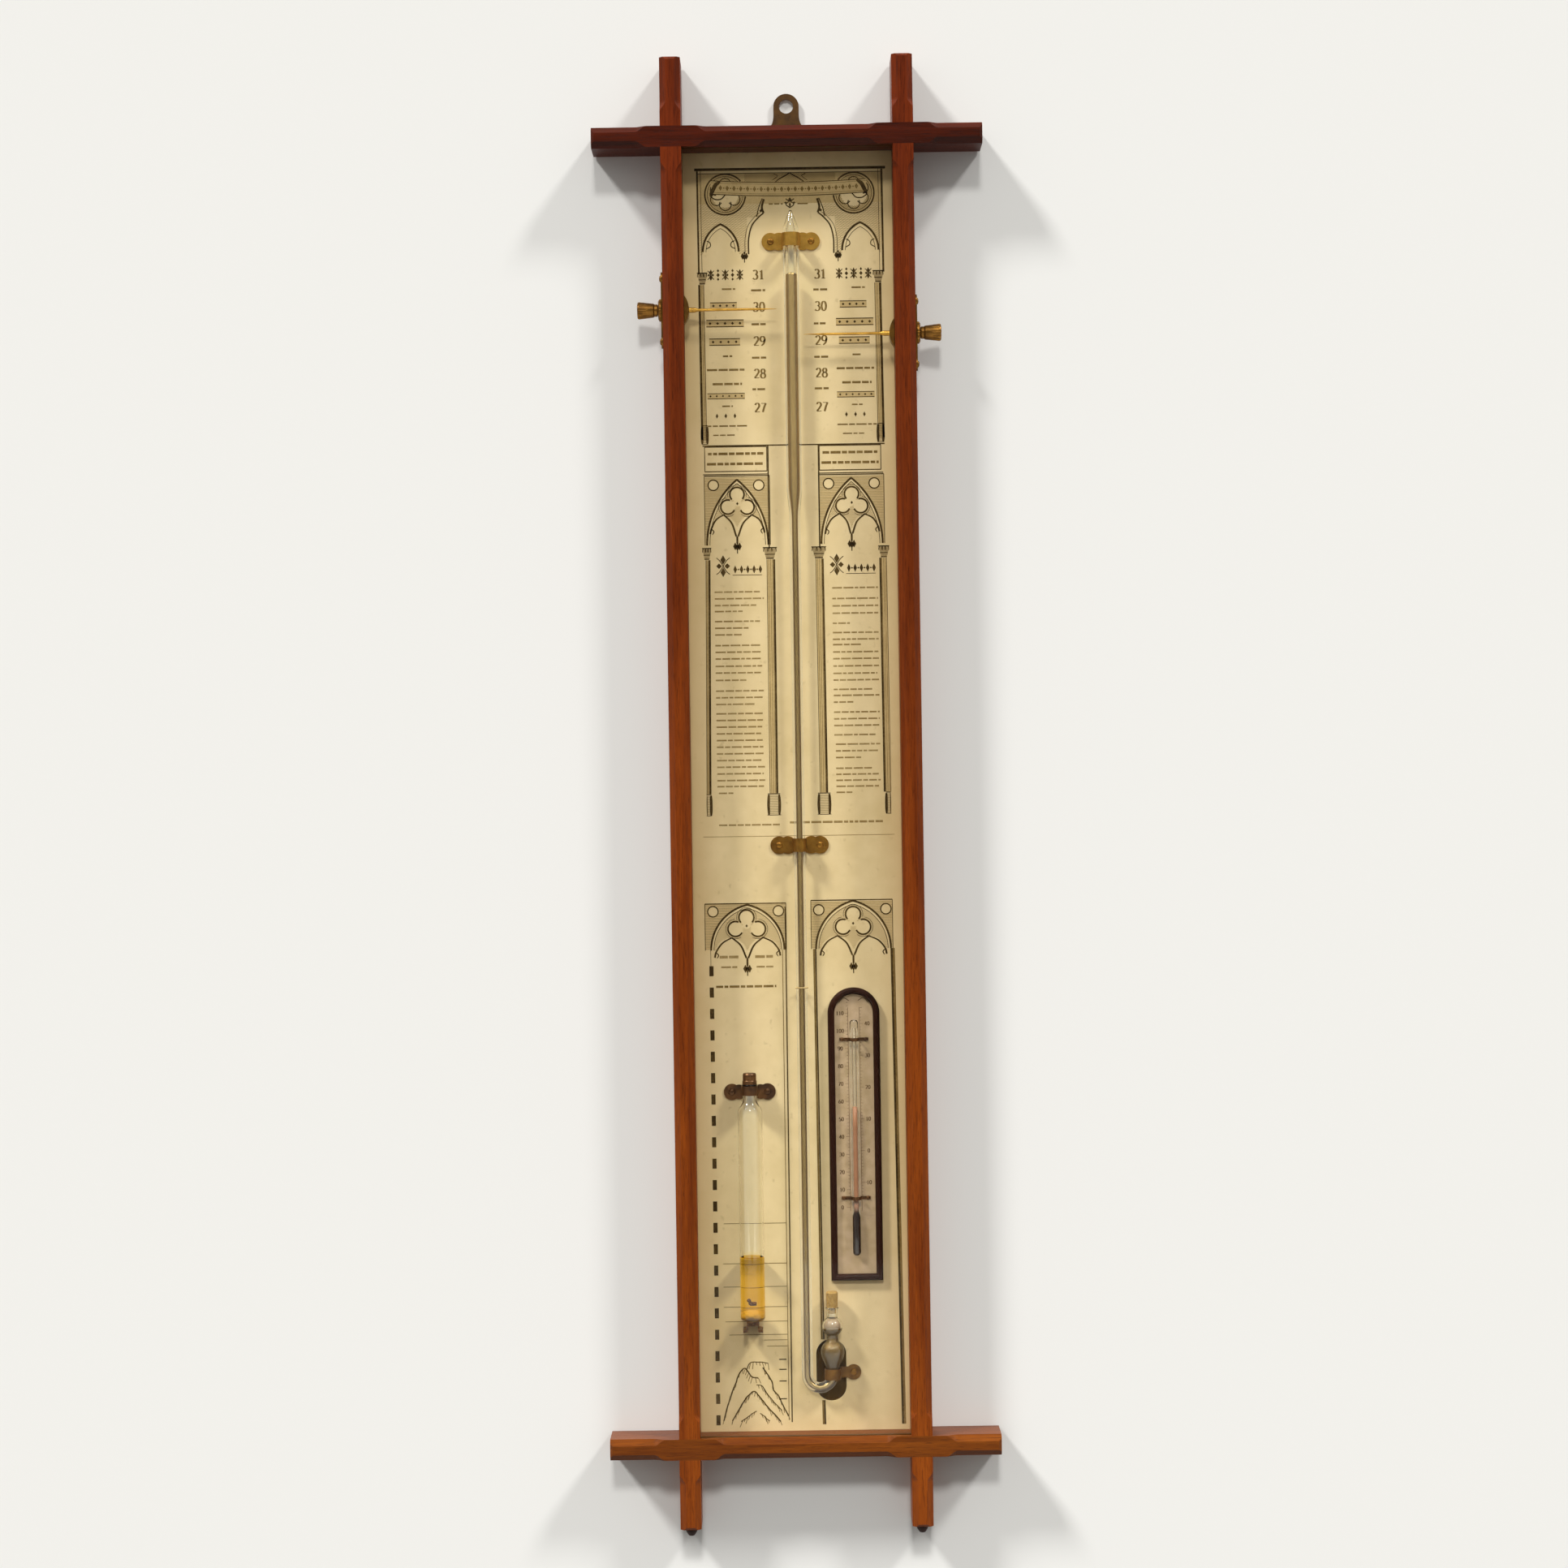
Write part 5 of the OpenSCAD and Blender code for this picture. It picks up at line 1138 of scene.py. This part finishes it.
def draw_roundels():
    """Two double rings with six foils each, cut where the ribbon crosses them."""
    for cx, cz in ROUNDELS:
        for r, width in ((15.2, 1.2), (13.4, 0.45)):
            for stretch in outside_of(bow(cx, cz, r, r, 0, 360, 80), on_ribbon):
                ink.stroke(stretch, width)
        for angle in range(30, 390, 60):
            a = math.radians(angle)
            foil = bow(cx + 7.6 * math.cos(a), cz + 7.6 * math.sin(a), 4.4, 4.4, angle - 118, angle + 118, 26)
            for stretch in outside_of(foil, on_ribbon):
                ink.stroke(stretch, 0.75)
        thin.hatch(in_ring(cx, cz, 9.6, 13), (cx - 14, cz - 14, cx + 14, cz + 14), 1.1, 0.24, slope=-0.6)


def draw_ribbon():
    """A blank ribbon: two edges, a chain of lozenges along it and folded dark ends."""
    x = np.linspace(-57, 58.8, 90)
    for tone, z, width in ((ink, -58.2, 0.6), (ink, -68.2, 0.6), (thin, -59.6, 0.3), (thin, -66.8, 0.3)):
        tone.stroke(np.stack([x, z + ribbon_rise(x)], 1), width)
    x = np.linspace(-50, 51.8, 41)
    small = np.arange(41) % 2 == 1
    thin.lozenges(x, -63.2 + ribbon_rise(x), np.where(small, 0.7, 1.35), np.where(small, 0.7, 2.1))
    for side, end in ((1, -57.0), (-1, 58.8)):
        fold = ((7.0, -59.2), (3.6, -61.2), (1.4, -65.2), (-0.8, -69.8))
        tail = ((-0.8, -69.8), (3.0, -72.2), (7.4, -72.0), (10.4, -69.0))
        ink.curve(np.array(beside(end, side, fold)) + [0, ribbon_rise(end)], 3.0, taper=0.8)
        ink.curve(np.array(beside(end, side, tail)) + [0, ribbon_rise(end)], 0.9)


def draw_finials():
    """The ogee above the ribbon and the finial below it."""
    for side in (-1, 1):
        ink.curve(beside(FINIAL_X, side, ((0, -50.9), (2.4, -52.6), (6.2, -54.6), (10.5, -57.6))), 0.9)
        ink.curve(beside(FINIAL_X, side, ((12, -51.6), (9, -53.4), (13, -56.6))), 0.5)
        ink.curve(beside(FINIAL_X, side, ((3.2, -70.4), (0.9, -72.4), (3.0, -74.6), (0, -77.2))), 0.8)
    ink.lozenges([1.8, 1.8, -1.4, 5.0], [-71.2, -75.0, -73.4, -73.4],
                 [1.3, 0.9, 1.1, 1.1], [2.0, 2.0, 0.9, 0.9])

    def over_ribbon(px, pz):
        """The field above the ribbon, clear of the roundels."""
        free = (np.abs(px - FINIAL_X) < 34) & (pz > -57.8)
        return free & ~on_ribbon(px, pz) & ~in_discs(ROUNDELS, 15.4)(px, pz)

    thin.hatch(over_ribbon, (-33, -58, 36, -51.4), 1.0, 0.36, slope=0.5)
    thin.bars(-14, -3.5, -74.2, 1.0, 3)
    thin.bars(7.5, 16.5, -74.2, 1.0, 4)


def draw_frieze_arches():
    """The middle arch with a cusp at each side, and a small pointed arch on both sides of it."""
    for inward, foot_x in ((1, -29.6), (-1, 34.2)):
        outer = beside(foot_x, inward, (
            (0, -111.5), (0.2, -100.0), (2.6, -90.5), (7.6, -84.2), (11.6, -80.9)))
        ink.curve(outer, 1.1)
        ink.curve(np.array(outer) + [-inward * 2.6, 0.5], 0.4)
        ink.curve(beside(foot_x, inward, ((11.6, -80.9), (10.4, -76.4), (12.0, -70.4))), 1.3, pen=0.5)
        ink.curve(beside(foot_x, inward, ((6.4, -83.6), (8.2, -76.4), (10.8, -70.0))), 0.8)
        ink.lozenges(foot_x + inward * 9.6, -79.2, 1.3, 1.3)
        pendant(foot_x - inward * 3.1, -109.6, -113.6, 2.3)
    for x, half in ((-50.4, 13.4), (54.0, 13.6)):
        ink.line(pointed(x, half, -109.5, -88.8), 1.5)
        ink.line(pointed(x, half - 2.4, -109.5, -92.0), 0.4)
        for side in (-1, 1):
            cusp = ((half - 3.0, -101.2), (half - 5.4, -102.6), (half - 5.6, -105.4), (half - 2.6, -107.2))
            ink.curve(beside(x, side, cusp), 0.7)


def frieze_ground(px, pz):
    """The ground round the arches, below the ribbon."""
    free = (px > -66.4) & (px < 69.6) & (pz > -112) & (pz < -74)
    free &= ~in_discs(ROUNDELS, 15.6)(px, pz) & ~on_ribbon(px, pz)
    free &= ~in_pointed(-50.4, 13.6, -112.0, -88.4)(px, pz) & ~in_pointed(54.0, 13.8, -112.0, -88.4)(px, pz)
    beside_arch = (px < -30.5) | (px > 35.2)
    over_arch = (pz > -84) & (np.abs(px - 2.3) > 24)
    return free & (beside_arch | over_arch)


def draw_frieze():
    """The head of the chart."""
    draw_head_rules()
    draw_roundels()
    draw_ribbon()
    draw_finials()
    draw_frieze_arches()
    ground = (-67, -112, 70, -74)
    thin.hatch(frieze_ground, ground, 1.8, 0.18, slope=0.7)
    wash.hatch(frieze_ground, ground, 1.1, 0.36)

    def behind_roundels(px, pz):
        """The ribbon itself and the ground round the roundels."""
        return on_ribbon(px, pz) | (~in_discs(ROUNDELS, 15)(px, pz) & (pz > -74))

    wash.hatch(behind_roundels, (-67, -76, 71, -51), 0.6, 0.62)
    for cx, cz in ROUNDELS:
        wash.hatch(in_ring(cx, cz, 10.2, 15), (cx - 15.5, -82.5, cx + 15.5, -51), 0.6, 0.62)


# The inches of mercury and the height at which each is printed
INCHES = ((31, -126.9), (30, -151.0), (29, -176.6), (28, -200.9), (27, -226.4))

# Rows of the left upper panel: height, left end, right end, thickness, and whether it is a ruled band
PANEL_ROWS = (
    (-137.4, -50, -40, 3.0, False), (-149.8, -59, -39, 5.2, True), (-163.0, -62, -34, 5.6, True),
    (-176.9, -60, -37, 5.4, True), (-187.6, -50, -43, 3.0, False), (-197.8, -62, -34, 3.6, False),
    (-208.4, -58, -36, 4.0, False), (-217.4, -62, -34, 4.4, True), (-225.0, -51, -43, 2.6, False),
    (-239.8, -62, -32.6, 2.6, False), (-246.6, -58, -42, 2.2, False),
)

# The right upper panel has the same rows, this far to the right
PANEL_PITCH = 97.0


def draw_upper_panels():
    """The upper panels: columns, a bold ornament at the head, the scale's numbers and rows of bars."""
    column((-65.2, -134), (-64.6, -250), 3.4, -1)
    column((66.4, -134), (67.4, -250), 4.2, 1)
    capital(-64.6, -128.6, 3.4)
    capital(67.0, -128.6, 3.6)
    for x in (-64.4, 67.2):
        foot_block(x, -240, -253, 1.9)
    ink.boxes(-66.2, -255.0, 70.0, -254.1)
    for x0, x1 in ((-60.5, -34.0), (35.5, 62.0)):
        at = np.linspace(x0 + 2.4, x1 - 2.4, 5)
        fleuron(at[::2], -126.8, 2.4, 4.2)
        for x in at[1::2]:
            ink.lozenges(x, [-123.6, -126.8, -130.0], [0.9, 1.3, 0.9], [1.2, 1.6, 1.2])
    for inch, z in INCHES:
        for x in (-22.4, 23.8):
            figures(thin, inch, x, z, 7.0, 0.95)
    for z in (-138.6, -164.0, -189.0, -212.6):
        for x0, x1 in ((-28.2, -17.6), (18.4, 28.8)):
            thin.bars(x0, x1, z, 1.5, int(x0 - z))
    for z, x0, x1, height, ruled in PANEL_ROWS:
        for shift in (0.0, PANEL_PITCH):
            if ruled:
                band(x0 + shift, x1 + shift, z, height)
                wash.rules(x0 + shift, x1 + shift, z, height * 0.8)
            else:
                thin.bars(x0 + shift, x1 + shift, z, height * 0.42, int(shift - z))
    for x in (-55.0, -48.4, -41.6, 41.8, 48.6, 55.2):
        ink.lozenges(x, -232.3, 1.0, 1.9)


def draw_boxes():
    """Two ruled boxes, each with two rows of bars."""
    for x0, x1 in ((-64.7, -18.3), (21.0, 67.0)):
        for z in (-255.4, -273.8):
            ink.rules(x0, x1, z, 0.7)
        ink.boxes([x0 - 0.3, x1 - 0.3], -273.8, [x0 + 0.3, x1 + 0.3], -255.4)
        for z, inset in ((-260.6, 2.5), (-268.2, 1.6)):
            thin.bars(x0 + inset, x1 - inset, z, 1.9, int(x0 - z))
    ink.boxes(-66.0, -276.4, -17.4, -275.7)
    ink.boxes(20.2, -276.4, 68.6, -275.7)
    for x in (-17.4, 20.4):
        ink.boxes(x - 0.5, -332, x + 0.5, -255)


# Rows of small bars, in blocks that share their left end: height and right end of each row
SMALL_ROWS = (
    (-60, ((-364, -25), (-369, -22), (-374, -26), (-378.5, -38), (-386, -25), (-391, -33), (-396, -39),
           (-404, -24), (-409, -25), (-414, -25), (-419.5, -24), (-424.5, -25), (-430, -36), (-438, -23),
           (-443, -24), (-448, -30), (-455, -23), (-460, -24), (-465, -23), (-470, -24), (-475, -23),
           (-480, -24), (-485, -24), (-490, -25), (-495, -23), (-500, -24), (-505, -23), (-509.5, -24))),
    (-59, ((-514.5, -47),)),
    (28, ((-362, 65), (-370, 66), (-375.5, 66), (-381, 66), (-388.5, 42), (-395.5, 65), (-400.5, 64),
          (-404.5, 50), (-410, 66), (-415, 66), (-420.5, 64), (-426, 62), (-431, 66), (-438, 58),
          (-442.5, 66), (-447.5, 44), (-455, 66), (-460, 64), (-465, 66), (-472, 60))),
    (29, ((-479, 64), (-484, 66), (-489, 50), (-497, 58), (-501.5, 62), (-506, 64), (-510.5, 62),
          (-515, 42))),
)
SMALL_ROWS_SEED = 200


def draw_upper_windows():
    """The two upper windows over their columns, with a bold ornament and rows of small bars in each."""
    window(-40.9, 22.9, -277.2, -329.0, -280.0,
           lobes=[(-41.0, -291.1), (-47.9, -300.4), (-33.6, -300.6)], lobe_r=5.3,
           corners=[(-58.6, -284.0), (-24.6, -284.4)],
           small=[((-51.1, -306.1), (-61.4, -317.5)), ((-30.2, -306.4), (-20.6, -317.0))],
           stem=(-41.2, -322.5), boss=-330.6)
    window(44.6, 22.9, -277.2, -329.0, -279.8,
           lobes=[(44.7, -291.8), (38.2, -300.6), (51.4, -300.8)], lobe_r=5.3,
           corners=[(27.6, -284.0), (61.8, -284.0)],
           small=[((35.6, -306.3), (24.6, -318.6)), ((54.4, -306.9), (65.2, -317.2))],
           stem=(44.4, -321.5), boss=-329.8)
    for x, half in ((-64.2, 3.0), (-17.0, 4.6), (19.6, 4.8), (68.2, 3.6)):
        capital(x, -334.6, half)
    for head, foot, width, heavy in ((-63.6, -65.4, 2.6, 1), (-16.6, -16.8, 5.4, 1), (19.8, 20.6, 5.2, 1),
                                     (67.8, 68.6, 4.6, -1)):
        column((head, -340), (foot, -515), width, heavy)
    for x, half, heavy in ((-65.2, 1.5, 1), (-16.6, 3.9, 0), (21.0, 3.9, 0), (69.0, 1.5, -1)):
        foot_block(x, -516.0, -531.0, half, heavy)
    for x0 in (-55.5, 29.5):
        fleuron(x0 + 3.4, -344.6, 5.0, 8.0)
        at = x0 + 12.4 + np.arange(5) * 4.7
        ink.lozenges(at, -347.2, 1.35, 3.1)
        ink.lozenges(at[:-1] + 2.35, -347.2, 0.75, 0.75)
        ink.boxes(x0 + 10.4, -351.6, x0 + 32.4, -351.2)
    rows = [(z, x0, x1) for x0, block in SMALL_ROWS for z, x1 in block]
    for k, (z, x0, x1) in enumerate(rows):
        faint.bars(x0 + 1.2, min(x1, 63.4), z, 1.15, SMALL_ROWS_SEED + k)
    faint.bars(-58.0, -12.0, -538.4, 1.2, 300)
    faint.bars(-5.0, 66.0, -537.0, 1.6, 301)
    faint.boxes(-70.0, -547.2, 73.0, -546.8)


# Long upright rules of the lower part: strength, points, width and spacing of the points
LONG_RULES = (
    (ink, ((-9.6, -600), (-9.4, -632), (-9.9, -985.5)), 0.9, 6),
    (thin, ((-12.0, -632), (-12.2, -984)), 0.5, 6),
    (ink, ((12.9, -632), (14.6, -924.0)), 1.0, 6),
    (thin, ((11.6, -632), (13.2, -924.0)), 1.4, 6),
    (ink, ((14.6, -969.5), (14.9, -987.5)), 1.3, 4),
    (thin, ((13.4, -969.5), (13.6, -987.5)), 1.4, 4),
    (ink, ((69.6, -632), (71.2, -800), (73.0, -988.0)), 1.6, 6),
    (thin, ((71.2, -632), (72.7, -800), (74.5, -988.0)), 1.6, 6),
)

# Level lines behind the storm glass: height, left end and right end
LEVEL_LINES = (
    (-836.5, -59.0, -12.4), (-866.5, -59.8, -12.4), (-883.9, -59.8, -12.4), (-899.0, -59.8, -12.4),
    (-909.9, -58.8, -12.4), (-919.8, -56.0, -12.4), (-923.9, -30.0, -12.6), (-928.5, -28.0, -12.6),
)

# The hills' outlines: width and points of each
HILLS = (
    (0.8, ((-61.0, -984), (-58.6, -975), (-55.6, -966), (-52.2, -957), (-48.4, -948.6), (-44.6, -944.8),
           (-42.0, -947.4), (-39.4, -951.2), (-34.8, -952.2))),
    (0.5, ((-43.4, -945.4), (-40.4, -940.8), (-33.6, -940.4), (-27.4, -941.2))),
    (0.8, ((-31.4, -944.4), (-28.2, -949.0), (-24.6, -955.4), (-23.2, -961.2), (-18.8, -967.4),
           (-15.6, -974.8), (-12.4, -981.0))),
    (0.8, ((-54.6, -984), (-50.2, -977), (-46.6, -971.6), (-40.6, -965.4), (-36.6, -962.8), (-32.8, -967.2),
           (-28.0, -973.6), (-22.0, -980.4), (-18.4, -985))),
    (0.6, ((-48.0, -984.6), (-44.0, -981.8), (-38.8, -978.4), (-36.4, -977.0))),
    (0.5, ((-33.8, -978.6), (-30.0, -981.0), (-26.6, -984.4))),
    (0.5, ((-36.2, -957.4), (-31.8, -958.2), (-28.4, -963.6), (-23.8, -970.4), (-17.4, -976.8))),
)
HILL_SEED, HILLS_MIDDLE = 77, -37


def draw_hills():
    """Shaky outlines, and short strokes that fall from them and lean away from the middle."""
    rng = np.random.default_rng(HILL_SEED)
    for width, knots in HILLS:
        line = smooth_line(knots)
        fade = np.sin(np.linspace(0, np.pi, len(line)))[:, None]
        line = line + np.cumsum(rng.normal(0, 0.09, line.shape), axis=0) * fade
        thin.stroke(line, width + 0.2)
        ink.stroke(line + [0.0, -0.15], width * 0.7, pen=0.6)
        at = line[2::3]
        fall = rng.uniform(2.0, 5.4, len(at))
        lean = np.sign(at[:, 0] - HILLS_MIDDLE) * rng.uniform(0.1, 0.5, len(at))
        ends = at + np.stack([lean * fall, -fall], 1)
        half = [0.26, 0]
        thin.quads.append(np.stack([at - half, ends - half, ends + half, at + half], 1))


def draw_lower_windows():
    """The two lower windows with their tall panels, the dashed strip, the level lines and the hills."""
    window(-37.9, 27.4, -597.2, -632.0, -598.2,
           lobes=[(-38.6, -607.6), (-46.9, -616.1), (-30.1, -616.3)], lobe_r=5.6,
           corners=[(-63.6, -603.0), (-14.6, -603.0)],
           small=[((-49.7, -622.6), (-62.6, -634.4)), ((-26.4, -622.6), (-13.6, -633.4))],
           stem=(-38.3, -638.0), boss=-646.6, reach=4.3)
    window(41.2, 28.0, -595.6, -632.0, -596.2,
           lobes=[(41.2, -606.2), (33.6, -615.6), (48.6, -615.8)], lobe_r=5.6,
           corners=[(15.6, -602.8), (65.8, -602.6)],
           small=[((29.4, -622.2), (16.4, -633.8)), ((52.7, -622.6), (66.0, -633.2))],
           stem=(41.0, -636.8), boss=-645.8, reach=3.5)
    for tone, points, width, step in LONG_RULES:
        tone.line(points, width, step)
    ink.boxes(-65.8, -647, -65.5, -632)
    for x0, x1 in ((-59, -45), (-32.5, -18)):
        faint.bars(x0, x1, -637.0, 2.0, int(430 - x0))
        faint.bars(x0 + 1, x1 - 1, -644.6, 1.3, int(400 - x0))
    thin.bars(-62.0, -17.0, -659.2, 1.7, 450)
    dash = -16.0 * np.arange(22)
    x, z = -65.3 - 0.0008 * dash, -647.4 + dash
    ink.boxes(x - 1.55, z - 3.75, x + 1.55, z + 3.75)
    for z, x0, x1 in LEVEL_LINES:
        thin.rules(x0, x1, z, 0.44)
    ink.rules(-19.0, -13.6, [-938.5, -946.0, -954.7, -968.0], 0.8)
    draw_hills()


def left_height(degrees):
    """Where a degree of the left scale stands."""
    return -733.0 + (degrees - 70) * 1.32


def right_height(degrees):
    """Where a degree of the right scale stands."""
    return -735.6 + (degrees - 20) * 2.376


def draw_scale():
    """The thermometer's scale: fine ticks on both sides of the stem and plain numbers, ten degrees apart."""
    edge, tick = 4.3, 0.22
    degrees = np.arange(0, 119, 2)
    long = np.where(degrees % 10 == 0, 2.6, 1.3)
    scale.rules(THERMO_X - edge - long, THERMO_X - edge, left_height(degrees), tick)
    degrees = np.arange(-15, 46)
    long = np.where(degrees % 10 == 0, 2.6, np.where(degrees % 5 == 0, 2.0, 1.2))
    scale.rules(THERMO_X + edge, THERMO_X + edge + long, right_height(degrees), tick)
    for side in (-1, 1):
        x = THERMO_X + side * edge
        scale.boxes(x - 0.15, -828.0, x + 0.15, -676.0)
    for degrees in range(0, 119, 10):
        figures(scale, degrees, THERMO_X - 10.2, left_height(degrees), 2.9, 0.42)
    for degrees in range(-10, 41, 10):
        figures(scale, abs(degrees), THERMO_X + 10.0, right_height(degrees), 2.9, 0.42)
    scale.rules(THERMO_X + 7.4, THERMO_X + 8.2, right_height(-10), 0.4)
    for side in (-1, 1):
        scale.curve(beside(THERMO_X, side, ((11, -672.0), (7.5, -668.8), (3.4, -670.8))), 0.5, pen=0.6)


draw_frieze()
draw_upper_panels()
draw_boxes()
draw_upper_windows()
draw_lower_windows()
draw_scale()
ink.place("chart_printing", dark_ink, PRINT_Y - LAYER)
thin.place("chart_shading", grey_ink, PRINT_Y)
faint.place("chart_small_printing", pale_ink, PRINT_Y)
wash.place("chart_wash", wash_ink, PRINT_Y + LAYER)
scale.place("thermometer_scale", scale_ink, PLATE_Y - 0.05, slot="scale_plate")


# Stage, light and camera

STAGE_SIDE, STAGE_FRONT, STAGE_TOP, FLOOR, WALL = 4, -6, 2.5, -1.75, 0.0012


def stage_paint():
    """Plain pale paint, see-through from behind so that views from there are free."""
    finish, tree = new_finish("backdrop_paint")
    surface = add(tree, "ShaderNodeBsdfPrincipled", {
        "Base Color": (0.87, 0.86, 0.82, 1.0), "Roughness": 0.9, "Specular IOR Level": 0.1})
    clear = tree.nodes.new("ShaderNodeBsdfTransparent")
    return between(finish, tree.nodes.new("ShaderNodeNewGeometry").outputs["Backfacing"], surface, clear)


def stage_sheet(name, near, far, finish):
    """A flat sheet across the stage between two edges, each given by its Y and Z in metres."""
    mesh = bpy.data.meshes.new(name)
    ends = [(-STAGE_SIDE, near), (STAGE_SIDE, near), (STAGE_SIDE, far), (-STAGE_SIDE, far)]
    mesh.from_pydata([(x, y, z) for x, (y, z) in ends], [], [(0, 1, 2, 3)])
    mesh.materials.append(finish)
    sheet = bpy.data.objects.new(name, mesh)
    bpy.context.scene.collection.objects.link(sheet)
    sheet.visible_diffuse = False
    sheet.visible_shadow = False


def add_sun(name, direction, strength, angle=8.0):
    """A lamp that shines along a direction. The angle in degrees softens its shadows."""
    lamp = bpy.data.lights.new(name, "SUN")
    lamp.energy = strength
    lamp.angle = math.radians(angle)
    lamp_object = bpy.data.objects.new(name, lamp)
    lamp_object.rotation_euler = Vector(direction).to_track_quat("-Z", "Y").to_euler()
    bpy.context.scene.collection.objects.link(lamp_object)


def light_world():
    """A soft room: white where the camera sees it, brighter from above than from below, and with a level of
    its own for gleams on metal and glass."""
    world = bpy.data.worlds.new("studio")
    bpy.context.scene.world = world
    world.use_nodes = True
    tree = world.node_tree
    tree.nodes.clear()
    ray = tree.nodes.new("ShaderNodeLightPath").outputs
    first = sums(tree, "LESS_THAN", ray["Diffuse Depth"], 0.5)
    seen = sums(tree, "ADD", ray["Is Camera Ray"], times(tree, ray["Is Transmission Ray"], first), clamp=True)
    direction = tree.nodes.new("ShaderNodeTexCoord").outputs["Generated"]
    around = add(tree, "ShaderNodeSeparateXYZ", {0: direction}).outputs
    gleam = span(tree, around[1], -0.98, -0.5, 0.2, 0.66)
    ambient = span(tree, around[2], -0.4, 0.4, 0.16, 0.46)
    glossy = times(tree, ray["Is Glossy Ray"], first)
    level = add(tree, "ShaderNodeMix", {0: glossy, 2: ambient, 3: gleam}, data_type="FLOAT").outputs[0]
    level = add(tree, "ShaderNodeMix", {0: seen, 2: level, 3: 0.92}, data_type="FLOAT").outputs[0]
    sky = add(tree, "ShaderNodeBackground", {"Color": (1.0, 0.99, 0.97, 1.0), "Strength": level})
    tree.links.new(sky.outputs[0], tree.nodes.new("ShaderNodeOutputWorld").inputs[0])


def place_camera():
    """The camera in front of the frame, level, and rolled a little as in the photograph."""
    x, y, z, roll = -0.009, -2.436, -0.5082, math.radians(0.85)
    eye = bpy.data.cameras.new("camera")
    eye.lens, eye.sensor_width = 74.5, 36.0
    eye.clip_start, eye.clip_end = 0.05, 50.0
    camera = bpy.data.objects.new("camera", eye)
    camera.matrix_world = Matrix((
        (math.cos(roll), math.sin(roll), 0.0, x),
        (0.0, 0.0, -1.0, y),
        (-math.sin(roll), math.cos(roll), 0.0, z),
        (0.0, 0.0, 0.0, 1.0)))
    bpy.context.scene.collection.objects.link(camera)
    bpy.context.scene.camera = camera


pale_paint = stage_paint()
stage_sheet("backdrop", (WALL, FLOOR), (WALL, STAGE_TOP), pale_paint)
stage_sheet("floor", (STAGE_FRONT, FLOOR), (WALL, FLOOR), pale_paint)
add_sun("left_lamp", (57, 36, -76), 2.5)
add_sun("right_lamp", (-57, 36, -76), 1.7)
add_sun("front_lamp", (0, 60, -52), 1.0)
add_sun("rear_lamp", (0.3, -1, -0.5), 1.5, 30.0)
light_world()
place_camera()
bpy.context.scene.view_settings.view_transform = "Standard"
